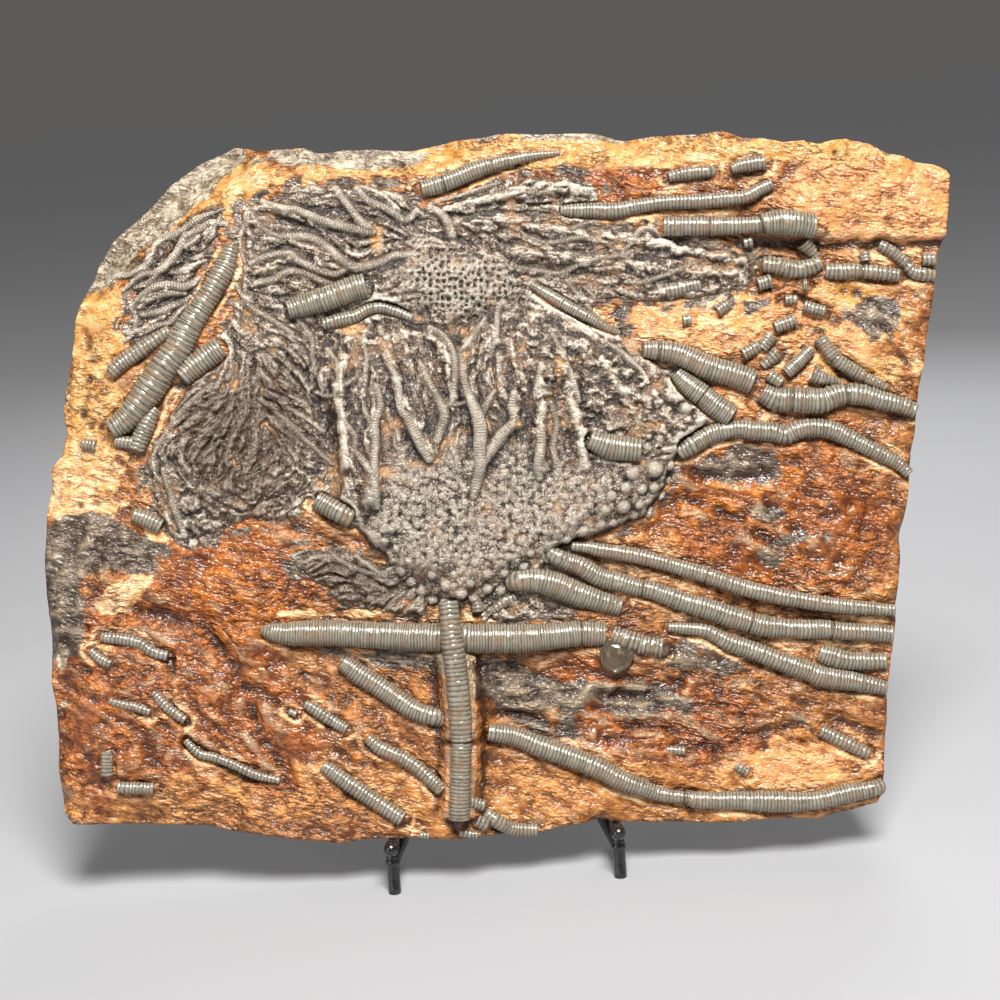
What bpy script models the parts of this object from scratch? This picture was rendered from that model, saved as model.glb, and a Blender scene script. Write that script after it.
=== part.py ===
"""Crinoid fossil plate: a limestone slab with sea-lily crowns and stems standing
out of its face, leaning on a black welded steel easel.  Metres, +Z up, origin on
the surface it stands on, at the middle of its footprint."""

import math

import bmesh
import bpy
from mathutils import Matrix, Vector, noise
from mathutils.bvhtree import BVHTree

MM = 0.001

# ---- driving dimensions -------------------------------------------------------
SLAB_WIDTH = 400 * MM          # left edge to right edge, across the face
SLAB_THICKNESS = 34 * MM       # face level to flat back
LEAN = math.radians(12)        # the face leans back from upright
SHEET_TURN = math.radians(4.1) # how far the slab is turned in its own plane on the easel
FACE_HEIGHT = 165.6 * MM       # sheet point (500, 500) above the surface
DEPTH_SHIFT = -50.9 * MM       # brings the middle of the footprint to y = 0
SIDE_SHIFT = -1.5 * MM         # brings the middle of the width to x = 0

ROD_RADIUS = 2.8 * MM
BALL_RADIUS = 3.3 * MM
ARM_LEFT = -58.8 * MM          # across the face, from the sheet's middle
ARM_RIGHT = 41.4 * MM
SEAT = -146.8 * MM             # the slab's lower edge where the arms carry it
SEAT_HALF_WIDTH = 12 * MM      # that edge is flat this far either side of each arm
ARM_REACH = 7 * MM             # the arms' ball ends stand this far before the face
UPRIGHT_TOP = 30 * MM          # the easel's arch, up the face from the sheet's middle
ARCH_HALF_WIDTH = 26 * MM
PROP_FOOT_Y = 89.4 * MM        # the rear prop's floor bar
PROP_SPREAD = 8 * MM           # the prop widens this much each side on its way down
LEG_SLOPE = 4.5 * MM           # their feet stand this far before their tops
BRACE_INWARD = 4.5 * MM        # each brace leans inwards by this much
LEG_SET_BACK = 4 * MM          # the front legs stand this far behind the arms' ends
BRACE_START = 0.7              # each brace is welded on this share of the way up its leg
PROP_HANG = 0.12               # the prop is welded on this share of the way down the uprights
FLAT_DEPTH = 0.3 * MM          # worn flat along the prop's floor bar
GAP = 0.35 * MM                # room between pieces that touch

# ---- the layout sheet ---------------------------------------------------------
# Places on the face are given on a sheet of 1000 by 1000 units, x to the right
# and y down, on which the slab is 900 units wide.
SHEET_UNIT = SLAB_WIDTH / 900
SHEET_MIDDLE = 500
ACROSS = Vector((1, 0, 0))
UP_FACE = Vector((0, math.sin(LEAN), math.cos(LEAN)))
OUT_OF_FACE = Vector((0, -math.cos(LEAN), math.sin(LEAN)))
ORIGIN = Vector((SIDE_SHIFT, DEPTH_SHIFT, FACE_HEIGHT))

# The slab's outline in four runs between its corners.
TOP_EDGE = [(150, 196), (185, 166), (228, 141), (262, 145), (300, 146), (328, 151), (390, 147),
            (440, 143), (510, 132), (600, 134), (640, 139), (715, 133), (770, 144), (835, 141),
            (900, 157), (948, 171)]
LEFT_EDGE = [(150, 196), (112, 235), (91, 262), (74, 325), (61, 410), (66, 440), (50, 468),
             (45, 545), (52, 680), (58, 816)]
RIGHT_EDGE = [(948, 171), (935, 262), (916, 410), (899, 560), (887, 690), (882, 798)]
BOTTOM_EDGE = [(58, 816), (75, 824), (210, 826), (320, 841), (378, 840), (405, 838), (440, 838),
               (485, 832), (540, 831), (605, 823.6), (630, 821.8), (720, 821), (835, 818), (882, 798)]
FACE_COLUMNS, FACE_ROWS = 26, 20
BACK_COLUMNS, BACK_ROWS = 9, 7
RELAX_STEPS = 20               # evens out the slab's grid between its edges
BACK_DRAW_IN = 0.982           # the back's outline, as a share of the face's
BACK_HOLLOW = 1.2 * MM         # dips in the back, beside where the easel touches it
BACK_EDGE_FALL = 5 * MM        # the back's edge is broken off by this much
BACK_EDGE_SHARE = 0.05         # over this share of the slab's width and height
EASEL_HALF_WIDTH = 62 * MM     # the back is flat this far either side of the easel's middle
EASEL_MARGIN = 25 * MM         # and the dips reach their depth over this much more
SIDE_WAVE = 1.3 * MM           # roughness of the broken sides
SIDE_RINGS = ((0.35, 1.004), (0.5, 0.999))   # shares of the way to the back, and their spreads
SEAT_ZONE = 0.9                # the lowest part of the sides keeps its shape, below this share of the seat

# Swells and hollows of the face: place, half-sizes, turn in degrees, height in mm.
SWELLS = [
    (160, 400, 70, 60, -55, 1.5), (90, 370, 30, 80, 5, 2.0), (85, 600, 40, 60, 0, 2.2),
    (250, 580, 60, 34, 10, 2.6), (130, 690, 60, 26, 30, 2.0), (225, 690, 36, 44, 20, 2.2),
    (180, 640, 90, 14, 28, -2.4), (262, 745, 18, 60, -25, -2.6), (140, 770, 60, 26, 5, 1.6),
    (330, 740, 90, 18, 38, 1.6), (390, 800, 70, 20, 12, 1.4), (640, 715, 120, 30, 8, -2.8),
    (560, 770, 70, 22, 22, 1.4), (760, 730, 60, 24, 15, -1.6), (840, 745, 34, 30, 0, 1.5),
    (700, 515, 60, 34, -15, -1.8), (760, 540, 26, 70, 35, -2.2), (850, 520, 46, 60, 0, 2.4),
    (880, 330, 40, 60, -30, 1.6), (840, 330, 70, 12, 28, -1.4), (860, 190, 90, 38, 0, 1.8),
    (560, 240, 170, 60, 0, 1.2), (450, 470, 160, 120, 0, 2.5), (700, 650, 40, 20, 0, 1.8),
]
UPPER_TIER = (655, 242, 5.2)   # starts at this x, steps down at this y, height in mm
RIB = [(452, 655), (458, 720), (462, 822)]  # the stone rib under the lower main stem
RIB_HALF_WIDTH, RIB_HEIGHT = 15, 5.0
EDGE_FALLS = [  # where the face falls away to its edge: place, reach, drop in mm
    ((91, 262), (228, 141), 46, 15), ((228, 141), (440, 143), 20, 8), ((440, 143), (640, 139), 14, 6),
    ((640, 139), (948, 171), 9, 4), ((58, 816), (210, 826), 12, 6), ((210, 826), (882, 812), 8, 4),
    ((50, 468), (58, 816), 9, 4), ((91, 262), (50, 468), 12, 5),
]

# ---- crowns and arms: outline on the sheet, rise in mm, edge roundness in units ----
CROWNS = {
    "main_crown": dict(rise=9.5, foot=22, cell=26, outline=[
        (447, 601), (408, 577), (372, 545), (350, 520), (326, 470), (328, 425), (314, 372),
        (330, 338), (385, 327), (428, 329), (456, 341), (492, 318), (530, 299), (590, 322),
        (624, 340), (668, 378), (708, 418), (684, 458), (664, 500), (625, 530), (575, 545),
        (528, 572), (503, 590), (462, 601)]),
    "upper_calyx": dict(rise=6.5, foot=26, cell=24, outline=[
        (368, 302), (373, 276), (392, 254), (402, 230), (440, 227), (500, 255), (536, 290),
        (512, 296), (486, 314), (452, 334), (425, 322), (393, 319)]),
    "left_arm_fan": dict(rise=6.0, foot=26, cell=28, outline=[
        (236, 296), (285, 318), (312, 334), (304, 372), (321, 424), (313, 498), (290, 512),
        (252, 512), (240, 530), (196, 530), (188, 550), (170, 540), (158, 480), (166, 425),
        (178, 398), (232, 366)]),
    "upper_left_arms": dict(rise=3.0, foot=16, cell=26, outline=[
        (240, 206), (300, 196), (345, 180), (392, 181), (412, 202), (396, 226), (386, 254),
        (366, 272), (300, 300), (244, 280), (236, 250)]),
    "upper_right_arms": dict(rise=2.8, foot=16, cell=28, outline=[
        (424, 206), (470, 190), (560, 172), (598, 186), (598, 198), (556, 202), (552, 220),
        (650, 226), (700, 243), (752, 252), (756, 284), (690, 301), (600, 292), (546, 286),
        (506, 254), (446, 226)]),
    "corner_arms": dict(rise=1.8, foot=14, cell=26, outline=[
        (100, 276), (134, 260), (152, 236), (226, 205), (232, 222), (205, 274), (176, 322),
        (124, 350), (116, 330), (132, 300), (106, 298)]),
    "small_arm_fan": dict(rise=1.8, foot=12, cell=30, outline=[
        (296, 562), (330, 550), (362, 548), (392, 570), (428, 604), (396, 618), (335, 606)]),
}

# ---- arms fused to the crowns: points on the sheet as (x, y, width in mm) ----
ARM_LIFT = 0.25                # an arm's axis stands this share of its radius above the crown
ARM_STEP = 20 * MM
ARM_RESOLUTION = 1
ARMS = {
    "main_crown": [
        [(374, 505, 6.0), (375, 470, 6.6), (373, 432, 6.2), (379, 398, 5.0)],
        [(435, 458, 6.0), (419, 430, 6.6), (403, 402, 6.4), (396, 375, 5.6), (388, 350, 4.4)],
        [(472, 474, 6.0), (482, 440, 7.0), (473, 404, 6.8), (464, 370, 6.0), (465, 345, 5.0),
         (486, 317, 4.4)],
        [(482, 464, 5.4), (500, 441, 6.2), (514, 420, 5.8), (513, 396, 4.6)],
        [(430, 330, 4.4), (450, 360, 5.4), (455, 396, 5.4), (440, 416, 4.8)],
        [(541, 474, 5.6), (539, 436, 6.4), (538, 400, 6.0), (544, 366, 4.8)],
        [(490, 350, 4.4), (495, 326, 5.2), (512, 309, 4.6)],
        [(585, 470, 6.0), (578, 430, 6.6), (570, 390, 6.0), (560, 345, 4.8)],
        [(640, 430, 5.4), (622, 395, 6.0), (600, 360, 5.0)],
        [(350, 470, 5.4), (346, 430, 6.0), (340, 390, 5.2), (346, 356, 4.2)]],
    "corner_arms": [
        [(146, 244, 3.6), (180, 234, 4.4), (206, 218, 4.4), (232, 207, 3.6)],
        [(156, 275, 3.8), (184, 248, 4.6), (204, 234, 4.4), (231, 226, 3.6)],
        [(104, 282, 3.6), (133, 272, 4.4), (151, 253, 4.0)],
        [(134, 307, 3.8), (161, 289, 4.6), (194, 284, 4.2)],
        [(141, 335, 3.8), (166, 322, 4.4), (188, 304, 3.6)]],
    "upper_left_arms": [
        [(240, 207, 3.6), (280, 208, 4.6), (322, 223, 4.6), (368, 233, 4.0)],
        [(247, 245, 3.6), (290, 240, 4.6), (335, 258, 4.6), (385, 256, 4.0)],
        [(258, 270, 3.6), (296, 258, 4.4), (344, 270, 4.2)],
        [(338, 190, 3.6), (356, 216, 4.4), (372, 232, 3.8)],
        [(376, 188, 3.6), (396, 206, 4.4), (398, 222, 3.8)]],
    "upper_right_arms": [
        [(436, 208, 3.6), (500, 198, 4.6), (560, 188, 4.0), (592, 190, 3.2)],
        [(450, 224, 3.6), (510, 222, 4.8), (580, 236, 4.6), (650, 243, 4.0), (742, 262, 3.4)],
        [(514, 250, 3.8), (580, 262, 4.8), (650, 268, 4.6), (744, 276, 3.6)]],
}

# ---- stems: points on the sheet as (x, y, width in mm), top-most pieces first ----
# lift is the axis's height above its bed, as a share of the radius.
STEMS = {
    "main_stem": dict(heights=[11.5, 13.0, 12.2, 11.4, 10.4, 9.4], ring=4.6, points=[
        (450, 604, 8.6), (453, 636, 9.8), (457, 672, 9.8), (459, 720, 9.8), (461, 770, 9.8),
        (462, 815, 10.4)]),
    "right_crown_stem": dict(lift=0.3, points=[
        (588, 446, 9.6), (606, 449, 11.0), (626, 452, 10.8), (646, 450, 9.4)]),
    "cross_stem": dict(lift=0.3, points=[
        (259, 630, 4.4), (272, 631, 9.0), (300, 632, 10.6), (340, 633, 11.2), (400, 636, 12.4),
        (440, 637, 12.8), (500, 637, 13.6), (540, 635, 13.2), (580, 633, 11.8), (606, 632, 9.8)]),
    "lower_left_stem": dict(lift=0.3, points=[
        (340, 664, 8.4), (360, 681, 9.0), (386, 697, 9.2), (412, 708, 9.2), (441, 717, 8.0)]),
    "lower_right_stem": dict(lift=0.3, points=[
        (487, 728, 7.6), (510, 735, 9.0), (545, 746, 9.8), (590, 764, 10.4), (630, 780, 9.8),
        (664, 792, 7.6), (688, 797, 7.4), (700, 799, 8.6), (760, 802, 10.6), (805, 801, 11.0),
        (845, 795, 10.4), (879, 786, 9.4)]),
    "right_stem_1": dict(lift=0.35, points=[
        (572, 546, 3.6), (590, 548, 7.2), (620, 552, 9.2), (660, 561, 10.4), (700, 574, 10.6),
        (740, 588, 10.4), (780, 595, 9.8), (820, 601, 9.6), (860, 605, 9.2), (891, 607, 8.4)]),
    "right_stem_2": dict(lift=0.3, points=[
        (552, 551, 8.4), (572, 560, 10.2), (606, 573, 10.4), (645, 584, 9.8), (680, 596, 9.8),
        (712, 609, 10.0), (742, 620, 9.6), (775, 627, 9.0), (812, 630, 9.0), (845, 632, 8.0),
        (889, 634, 7.8)]),
    "right_stem_3": dict(lift=0.25, points=[
        (512, 579, 11.0), (530, 579, 13.4), (548, 583, 14.2), (575, 592, 12.4), (600, 601, 9.6),
        (620, 608, 5.6)]),
    "right_stem_4": dict(lift=0.3, points=[
        (674, 628, 3.6), (700, 631, 5.8), (725, 641, 6.8), (752, 652, 8.2), (790, 667, 9.4),
        (820, 677, 9.6), (850, 685, 9.0), (884, 690, 7.6)]),
    "right_stem_5": dict(lift=0.15, points=[
        (817, 653, 7.4), (838, 655, 10.4), (862, 657, 9.2), (886, 658, 8.4)]),
    "cross_stem_end": dict(lift=0.2, points=[(612, 636, 8.0), (640, 641, 8.8), (664, 648, 8.2)]),
    "lower_branch_1": dict(lift=0.3, points=[
        (324, 767, 6.4), (345, 783, 7.6), (375, 804, 7.6), (404, 817, 7.4)]),
    "lower_branch_2": dict(lift=0.3, points=[
        (368, 737, 6.0), (392, 751, 7.0), (420, 768, 7.0), (440, 782, 6.8)]),
    "lower_branch_3": dict(lift=0.2, points=[(306, 705, 5.4), (328, 714, 6.0), (350, 729, 5.4)]),
    "left_edge_stem": dict(lift=0.2, points=[(99, 632, 6.2), (128, 640, 6.6), (166, 656, 5.0)]),
    "bottom_edge_stem": dict(lift=0.2, points=[(488, 816, 7.2), (506, 823, 7.6), (530, 827, 5.0)]),
    "right_bent_stem": dict(lift=0.35, points=[
        (634, 351, 8.6), (652, 350, 10.0), (676, 358, 11.2), (700, 369, 11.6), (726, 377, 11.6),
        (752, 385, 11.2)]),
    "right_wavy_stem_1": dict(lift=0.3, points=[
        (762, 396, 9.4), (776, 402, 10.8), (796, 399, 12.2), (818, 400, 12.0), (836, 399, 10.6),
        (852, 392, 9.4), (872, 395, 8.4), (892, 403, 8.2), (910, 412, 7.8)]),
    "right_wavy_stem_2": dict(lift=0.3, points=[
        (682, 452, 9.0), (700, 446, 9.6), (724, 431, 9.2), (746, 430, 9.8), (768, 433, 9.2),
        (785, 437, 8.2), (802, 430, 9.0), (824, 428, 8.8), (845, 434, 8.0), (866, 445, 8.0),
        (887, 457, 7.6), (904, 468, 6.4)]),
    "right_straight_stem": dict(lift=0.4, points=[
        (674, 377, 8.0), (692, 391, 10.4), (712, 404, 10.8), (732, 416, 10.6)]),
    "ledge_stem": dict(lift=0.35, points=[
        (663, 228, 9.4), (700, 229, 8.6), (732, 228, 8.2), (756, 226, 8.4), (768, 224, 11.2),
        (790, 223, 12.0), (814, 226, 9.6)]),
    "top_stem": dict(lift=0.25, points=[
        (560, 213, 4.6), (580, 211, 6.6), (612, 210, 7.4), (645, 206, 7.6), (690, 203, 7.6),
        (724, 201, 7.6), (748, 197, 6.8), (770, 187, 5.4)]),
    "top_short_stem_1": dict(lift=0.2, points=[(668, 178, 5.4), (690, 175, 6.4), (712, 173, 6.2)]),
    "top_short_stem_2": dict(lift=0.2, points=[(729, 172, 5.0), (746, 168, 7.4), (763, 164, 7.6)]),
    "under_ledge_stem_1": dict(lift=0.2, points=[(763, 266, 8.2), (792, 268, 8.8), (820, 265, 7.6)]),
    "under_ledge_stem_2": dict(lift=0.2, points=[
        (825, 272, 7.0), (845, 272, 7.6), (865, 272, 7.0), (885, 273, 7.4), (900, 275, 6.4)]),
    "under_ledge_stem_3": dict(lift=0.2, points=[
        (882, 250, 5.0), (897, 261, 5.4), (911, 272, 5.8), (931, 275, 6.4)]),
    "short_spindle": dict(lift=0.3, points=[(786, 373, 6.6), (797, 363, 6.6), (811, 350, 4.2)]),
    "jointed_stem": dict(lift=0.3, points=[
        (822, 342, 7.2), (836, 360, 7.2), (861, 376, 5.8), (884, 386, 3.8)]),
    "low_right_stem": dict(lift=0.2, points=[(822, 730, 5.6), (844, 741, 5.8), (865, 751, 5.4)]),
    "upper_stem": dict(lift=0.4, points=[
        (426, 188, 7.6), (446, 183, 8.2), (472, 176, 8.2), (498, 169, 7.4), (524, 162, 5.8),
        (560, 154, 2.8)]),
    "ribbed_stem": dict(lift=0.25, ring=4.8, points=[
        (229, 254, 6.8), (216, 277, 9.6), (201, 301, 10.2), (184, 327, 11.6), (165, 356, 13.6),
        (145, 386, 13.8), (126, 412, 12.8), (110, 428, 10.0)]),
    "left_stem_1": dict(lift=0.2, points=[
        (114, 372, 6.2), (134, 360, 7.6), (152, 348, 7.8), (168, 334, 5.8)]),
    "left_stem_2": dict(lift=0.3, points=[(183, 379, 8.8), (202, 367, 9.8), (222, 353, 9.4)]),
    "left_stub": dict(lift=0.15, points=[(134, 513, 7.0), (148, 519, 7.6), (162, 527, 7.2)]),
    "under_crown_stem": dict(lift=0.5, points=[(319, 503, 8.0), (334, 507, 9.0), (350, 514, 9.0)]),
    "thick_inner_stem": dict(lift=0.4, points=[
        (296, 307, 10.0), (318, 300, 11.4), (342, 294, 12.2), (364, 288, 11.6)]),
    "thin_inner_stem": dict(lift=0.4, points=[
        (326, 323, 5.8), (346, 318, 6.2), (364, 313, 5.2), (384, 306, 4.2)]),
    "pale_spindle": dict(lift=0.2, points=[
        (547, 293, 3.4), (566, 302, 6.6), (592, 317, 6.2), (618, 332, 2.6)]),
}
OVER_CROWNS = ("main_stem", "right_crown_stem")
LOOSE_PLATE = [(599, 648), (608, 638), (632, 640), (634, 654), (629, 666), (615, 674), (601, 664)]
LOOSE_PLATE_RISE = 3.4 * MM
TUBE_STEP = 15 * MM           # spacing of a plain stem's cross-sections
TUBE_RESOLUTION = 2
THICK_STEM = 11.5 * MM          # thinner ones have fewer sides
THIN_RESOLUTION = 1
RING_DEPTH = 0.07              # ribs of the two ribbed stems, as a share of the radius
PRISM_GROWTH = 2.0             # a crown's cutter grows from its middle, so by more at its ends
SLAB_CUTTER_SCALE = 1.0015     # leaves room at the slab's sides too
BED_DEPTH = 7 * MM             # blocks start this far below the face before they are bedded
PRISM_LOW, PRISM_HIGH = -26 * MM, 40 * MM    # a crown's outline prism, from the face
BLOCK_MARGIN = 8               # sheet units by which a crown's block is wider than its outline
CROWN_RIM = 1.2                # height in mm of a crown's edge above its bed
RAY_START = 60 * MM            # above every piece on the face

# ---- finishes: colour, roughness, metallic -----------------------------------------
FINISHES = {
    "limestone": ((0.55, 0.30, 0.15), 0.45, 0.0),
    "crown_calcite": ((0.16, 0.14, 0.13), 0.35, 0.0),
    "stem_calcite": ((0.30, 0.27, 0.24), 0.30, 0.0),
    "black_steel": ((0.012, 0.012, 0.013), 0.35, 0.6),
}


# ---- the sheet's geometry ------------------------------------------------------------
def face_point(across, up, out):
    """The point this far across the face, up the face and out of the face, in metres."""
    return ORIGIN + ACROSS * across + UP_FACE * up + OUT_OF_FACE * out


def sheet_to_face(x, y):
    """How far across and up the face a sheet point lies, in metres."""
    right, up = (x - SHEET_MIDDLE) * SHEET_UNIT, (SHEET_MIDDLE - y) * SHEET_UNIT
    turn_cos, turn_sin = math.cos(SHEET_TURN), math.sin(SHEET_TURN)
    return turn_cos * right + turn_sin * up, turn_cos * up - turn_sin * right


def place(x, y, out):
    """The point over a sheet place, this far out of the face, in metres."""
    return face_point(*sheet_to_face(x, y), out)


def along(points, share):
    """The place at this share of a polyline's length."""
    lengths = [math.dist(a, b) for a, b in zip(points, points[1:])]
    left = share * sum(lengths)
    for a, b, length in zip(points, points[1:], lengths):
        if left <= length:
            part = left / length
            return tuple(p + (q - p) * part for p, q in zip(a, b))
        left -= length
    return points[-1]


def coons(s, t):
    """The sheet place at shares s across and t down the slab, between its four edges."""
    top, bottom = along(TOP_EDGE, s), along(BOTTOM_EDGE, s)
    left, right = along(LEFT_EDGE, t), along(RIGHT_EDGE, t)
    corners = (TOP_EDGE[0], TOP_EDGE[-1], BOTTOM_EDGE[0], BOTTOM_EDGE[-1])
    return tuple(
        (1 - t) * top[i] + t * bottom[i] + (1 - s) * left[i] + s * right[i]
        - (1 - s) * (1 - t) * corners[0][i] - s * (1 - t) * corners[1][i]
        - (1 - s) * t * corners[2][i] - s * t * corners[3][i]
        for i in (0, 1))


def distance_to_run(x, y, points):
    """The sheet distance from a place to a polyline."""
    nearest = math.inf
    for (ax, ay), (bx, by) in zip(points, points[1:]):
        run_x, run_y = bx - ax, by - ay
        part = ((x - ax) * run_x + (y - ay) * run_y) / (run_x * run_x + run_y * run_y)
        part = min(1, max(0, part))
        nearest = min(nearest, math.hypot(x - ax - part * run_x, y - ay - part * run_y))
    return nearest


def inside(x, y, outline):
    """Whether a sheet place lies in a closed outline."""
    found = False
    for (ax, ay), (bx, by) in zip(outline, outline[1:] + outline[:1]):
        if (ay > y) != (by > y) and x < (bx - ax) * (y - ay) / (by - ay) + ax:
            found = not found
    return found


def smooth(value):
    """0 below 0, 1 above 1, and a smooth rise between."""
    value = min(1, max(0, value))
    return value * value * (3 - 2 * value)


def bed(x, y):
    """The height of the stone face at a sheet place, in metres."""
    height = 0.0
    for cx, cy, half_x, half_y, turn, rise in SWELLS:
        angle = math.radians(turn)
        u = ((x - cx) * math.cos(angle) + (y - cy) * math.sin(angle)) / half_x
        v = (-(x - cx) * math.sin(angle) + (y - cy) * math.cos(angle)) / half_y
        height += rise * math.exp(-(u * u + v * v))
    start, step, rise = UPPER_TIER
    height += rise * smooth((x - start) / 60) * smooth((step + 6 - y) / 12)
    height += RIB_HEIGHT * smooth(2 - distance_to_run(x, y, RIB) / RIB_HALF_WIDTH)
    height += 1.1 * noise.noise(Vector((x / 55, y / 55, 3.1)))
    for start, end, reach, drop in EDGE_FALLS:
        height -= drop * smooth(1 - distance_to_run(x, y, (start, end)) / reach)
    return height * MM


def stone_height(slab_tree, x, y):
    """The height of the slab's own faceted surface at a sheet place, in metres."""
    start = place(x, y, RAY_START)
    hit = slab_tree.ray_cast(start, -OUT_OF_FACE)[0]
    return (hit - ORIGIN).dot(OUT_OF_FACE) if hit else bed(x, y)


def crown_rise(crown, x, y):
    """How far a crown stands above its bed at a sheet place inside it, in metres."""
    outline = crown["outline"]
    if not inside(x, y, outline):
        return CROWN_RIM * MM
    share = smooth(distance_to_run(x, y, outline + outline[:1]) / crown["foot"])
    lumps = 0.12 * noise.noise(Vector((x / 22, y / 22, 7.7)))
    return (CROWN_RIM + (crown["rise"] - CROWN_RIM) * share * (1 + lumps)) * MM


def ground(slab_tree, x, y):
    """The height of what a stem lies on at a sheet place: a crown or the stone."""
    rises = [crown_rise(crown, x, y) for crown in CROWNS.values() if inside(x, y, crown["outline"])]
    return stone_height(slab_tree, x, y) + (rises[0] if rises else 0)


# ---- building blocks ----------------------------------------------------------------
def new_object(name, mesh, finish, group):
    made = bpy.data.objects.new(name, mesh)
    group.objects.link(made)
    if finish:
        mesh.materials.clear()
        mesh.materials.append(bpy.data.materials[finish])
    return made


def mesh_from(shape, name):
    """Writes a bmesh to a new mesh of triangles with its faces pointing out."""
    bmesh.ops.recalc_face_normals(shape, faces=shape.faces)
    bmesh.ops.triangulate(shape, faces=shape.faces, quad_method="FIXED")
    mesh = bpy.data.meshes.new(name)
    shape.to_mesh(mesh)
    shape.free()
    return mesh


def evaluated_mesh(source):
    """The object's evaluated mesh, in world space, with its doubles welded."""
    bpy.context.view_layer.update()
    graph = bpy.context.evaluated_depsgraph_get()
    mesh = bpy.data.meshes.new_from_object(source.evaluated_get(graph))
    mesh.transform(source.matrix_world)
    shape = bmesh.new()
    shape.from_mesh(mesh)
    bmesh.ops.remove_doubles(shape, verts=shape.verts, dist=1e-6)
    shape.to_mesh(mesh)
    shape.free()
    return mesh


def combine(target, other, operation):
    """Applies a Boolean of target with other to target's mesh."""
    modifier = target.modifiers.new("combine", "BOOLEAN")
    modifier.operation = operation
    modifier.object = other
    mesh = evaluated_mesh(target)
    target.modifiers.clear()
    target.data = mesh
    target.matrix_world.identity()


def keep_largest(target):
    """Deletes all but the largest of the mesh's separate bodies."""
    shape = bmesh.new()
    shape.from_mesh(target.data)
    bmesh.ops.triangulate(shape, faces=shape.faces)
    waiting, bodies = set(shape.verts), []
    while waiting:
        reached = [waiting.pop()]
        for vert in reached:
            for edge in vert.link_edges:
                other = edge.other_vert(vert)
                if other in waiting:
                    waiting.remove(other)
                    reached.append(other)
        bodies.append(reached)
    largest = max(bodies, key=volume_of)
    for body in bodies:
        if body is not largest:
            bmesh.ops.delete(shape, geom=body, context="VERTS")
    shape.to_mesh(target.data)
    shape.free()


def volume_of(verts):
    """The volume inside a closed body of triangles."""
    faces = {face for vert in verts for face in vert.link_faces}
    corners = ([vert.co for vert in face.verts] for face in faces)
    return sum(a.dot(b.cross(c)) for a, b, c in corners) / 6


def tube(name, points, widths, group, finish, bevel_resolution=TUBE_RESOLUTION):
    """A round bar along world points, as a closed mesh. Widths are diameters in metres."""
    curve = bpy.data.curves.new(name, "CURVE")
    curve.dimensions = "3D"
    curve.twist_mode = "Z_UP"
    curve.bevel_depth = 1.0
    curve.bevel_resolution = bevel_resolution
    curve.use_fill_caps = True
    spline = curve.splines.new("POLY")
    spline.points.add(len(points) - 1)
    for spot, point, width in zip(spline.points, points, widths):
        spot.co = (*point, 1)
        spot.radius = width / 2
    guide = bpy.data.objects.new(name + "_guide", curve)
    bpy.context.scene.collection.objects.link(guide)
    mesh = evaluated_mesh(guide)
    bpy.data.objects.remove(guide)
    shape = bmesh.new()
    shape.from_mesh(mesh)
    bmesh.ops.remove_doubles(shape, verts=shape.verts, dist=1e-5)
    return new_object(name, mesh_from(shape, name), finish, group)


def extend_ends(spots, length):
    """Moves both ends of a line outwards by this length."""
    spots[0] += (spots[0] - spots[1]).normalized() * length
    spots[-1] += (spots[-1] - spots[-2]).normalized() * length


def smooth_line(points, step):
    """Points about a step apart on a Catmull-Rom curve through (x, y, ...) points."""
    ends = [points[0], *points, points[-1]]
    line = []
    for p0, p1, p2, p3 in zip(ends, ends[1:], ends[2:], ends[3:]):
        parts = max(1, round(math.dist(p1[:2], p2[:2]) / step))
        for part in range(parts):
            t = part / parts
            line.append(tuple(
                0.5 * (2 * b + (c - a) * t + (2 * a - 5 * b + 4 * c - d) * t * t
                       + (3 * b - a - 3 * c + d) * t ** 3)
                for a, b, c, d in zip(p0, p1, p2, p3)))
    line.append(points[-1])
    return line


# ---- the slab ------------------------------------------------------------------------
def make_slab(name, group, finish):
    """The face and the back are grids over the same outline, joined round the edge."""
    shape = bmesh.new()
    grids = []
    for columns, rows, front in ((FACE_COLUMNS, FACE_ROWS, True), (BACK_COLUMNS, BACK_ROWS, False)):
        grid = bmesh.ops.create_grid(shape, x_segments=columns, y_segments=rows, size=0.5)["verts"]
        shares = {vert: (vert.co.x + 0.5, 0.5 - vert.co.y) for vert in grid}
        for vert in grid:
            vert.co = (*coons(*shares[vert]), 0)
        inner = [vert for vert in grid if not vert.is_boundary]
        for _ in range(RELAX_STEPS):
            bmesh.ops.smooth_vert(shape, verts=inner, factor=0.5, use_axis_x=True, use_axis_y=True)
        for vert in grid:
            x, y = vert.co.x, vert.co.y
            vert.co = place(x, y, bed(x, y)) if front else back_point(x, y, *shares[vert])
        grids.append(grid)
    rims = []
    for grid in grids:
        known = set(grid)
        rims.append([e for e in shape.edges if e.is_boundary and e.verts[0] in known])
    for vert in {v for e in rims[0] for v in e.verts}:
        move_side_point(vert, 0, 1, 0)
    for share, spread in SIDE_RINGS:
        grown = bmesh.ops.extrude_edge_only(shape, edges=rims[0])["geom"]
        rims[0] = [e for e in grown if isinstance(e, bmesh.types.BMEdge)]
        for vert in {v for e in rims[0] for v in e.verts}:
            move_side_point(vert, share, spread, SIDE_WAVE)
    bmesh.ops.bridge_loops(shape, edges=rims[0] + rims[1])
    return new_object(name, mesh_from(shape, name), finish, group)


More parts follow.
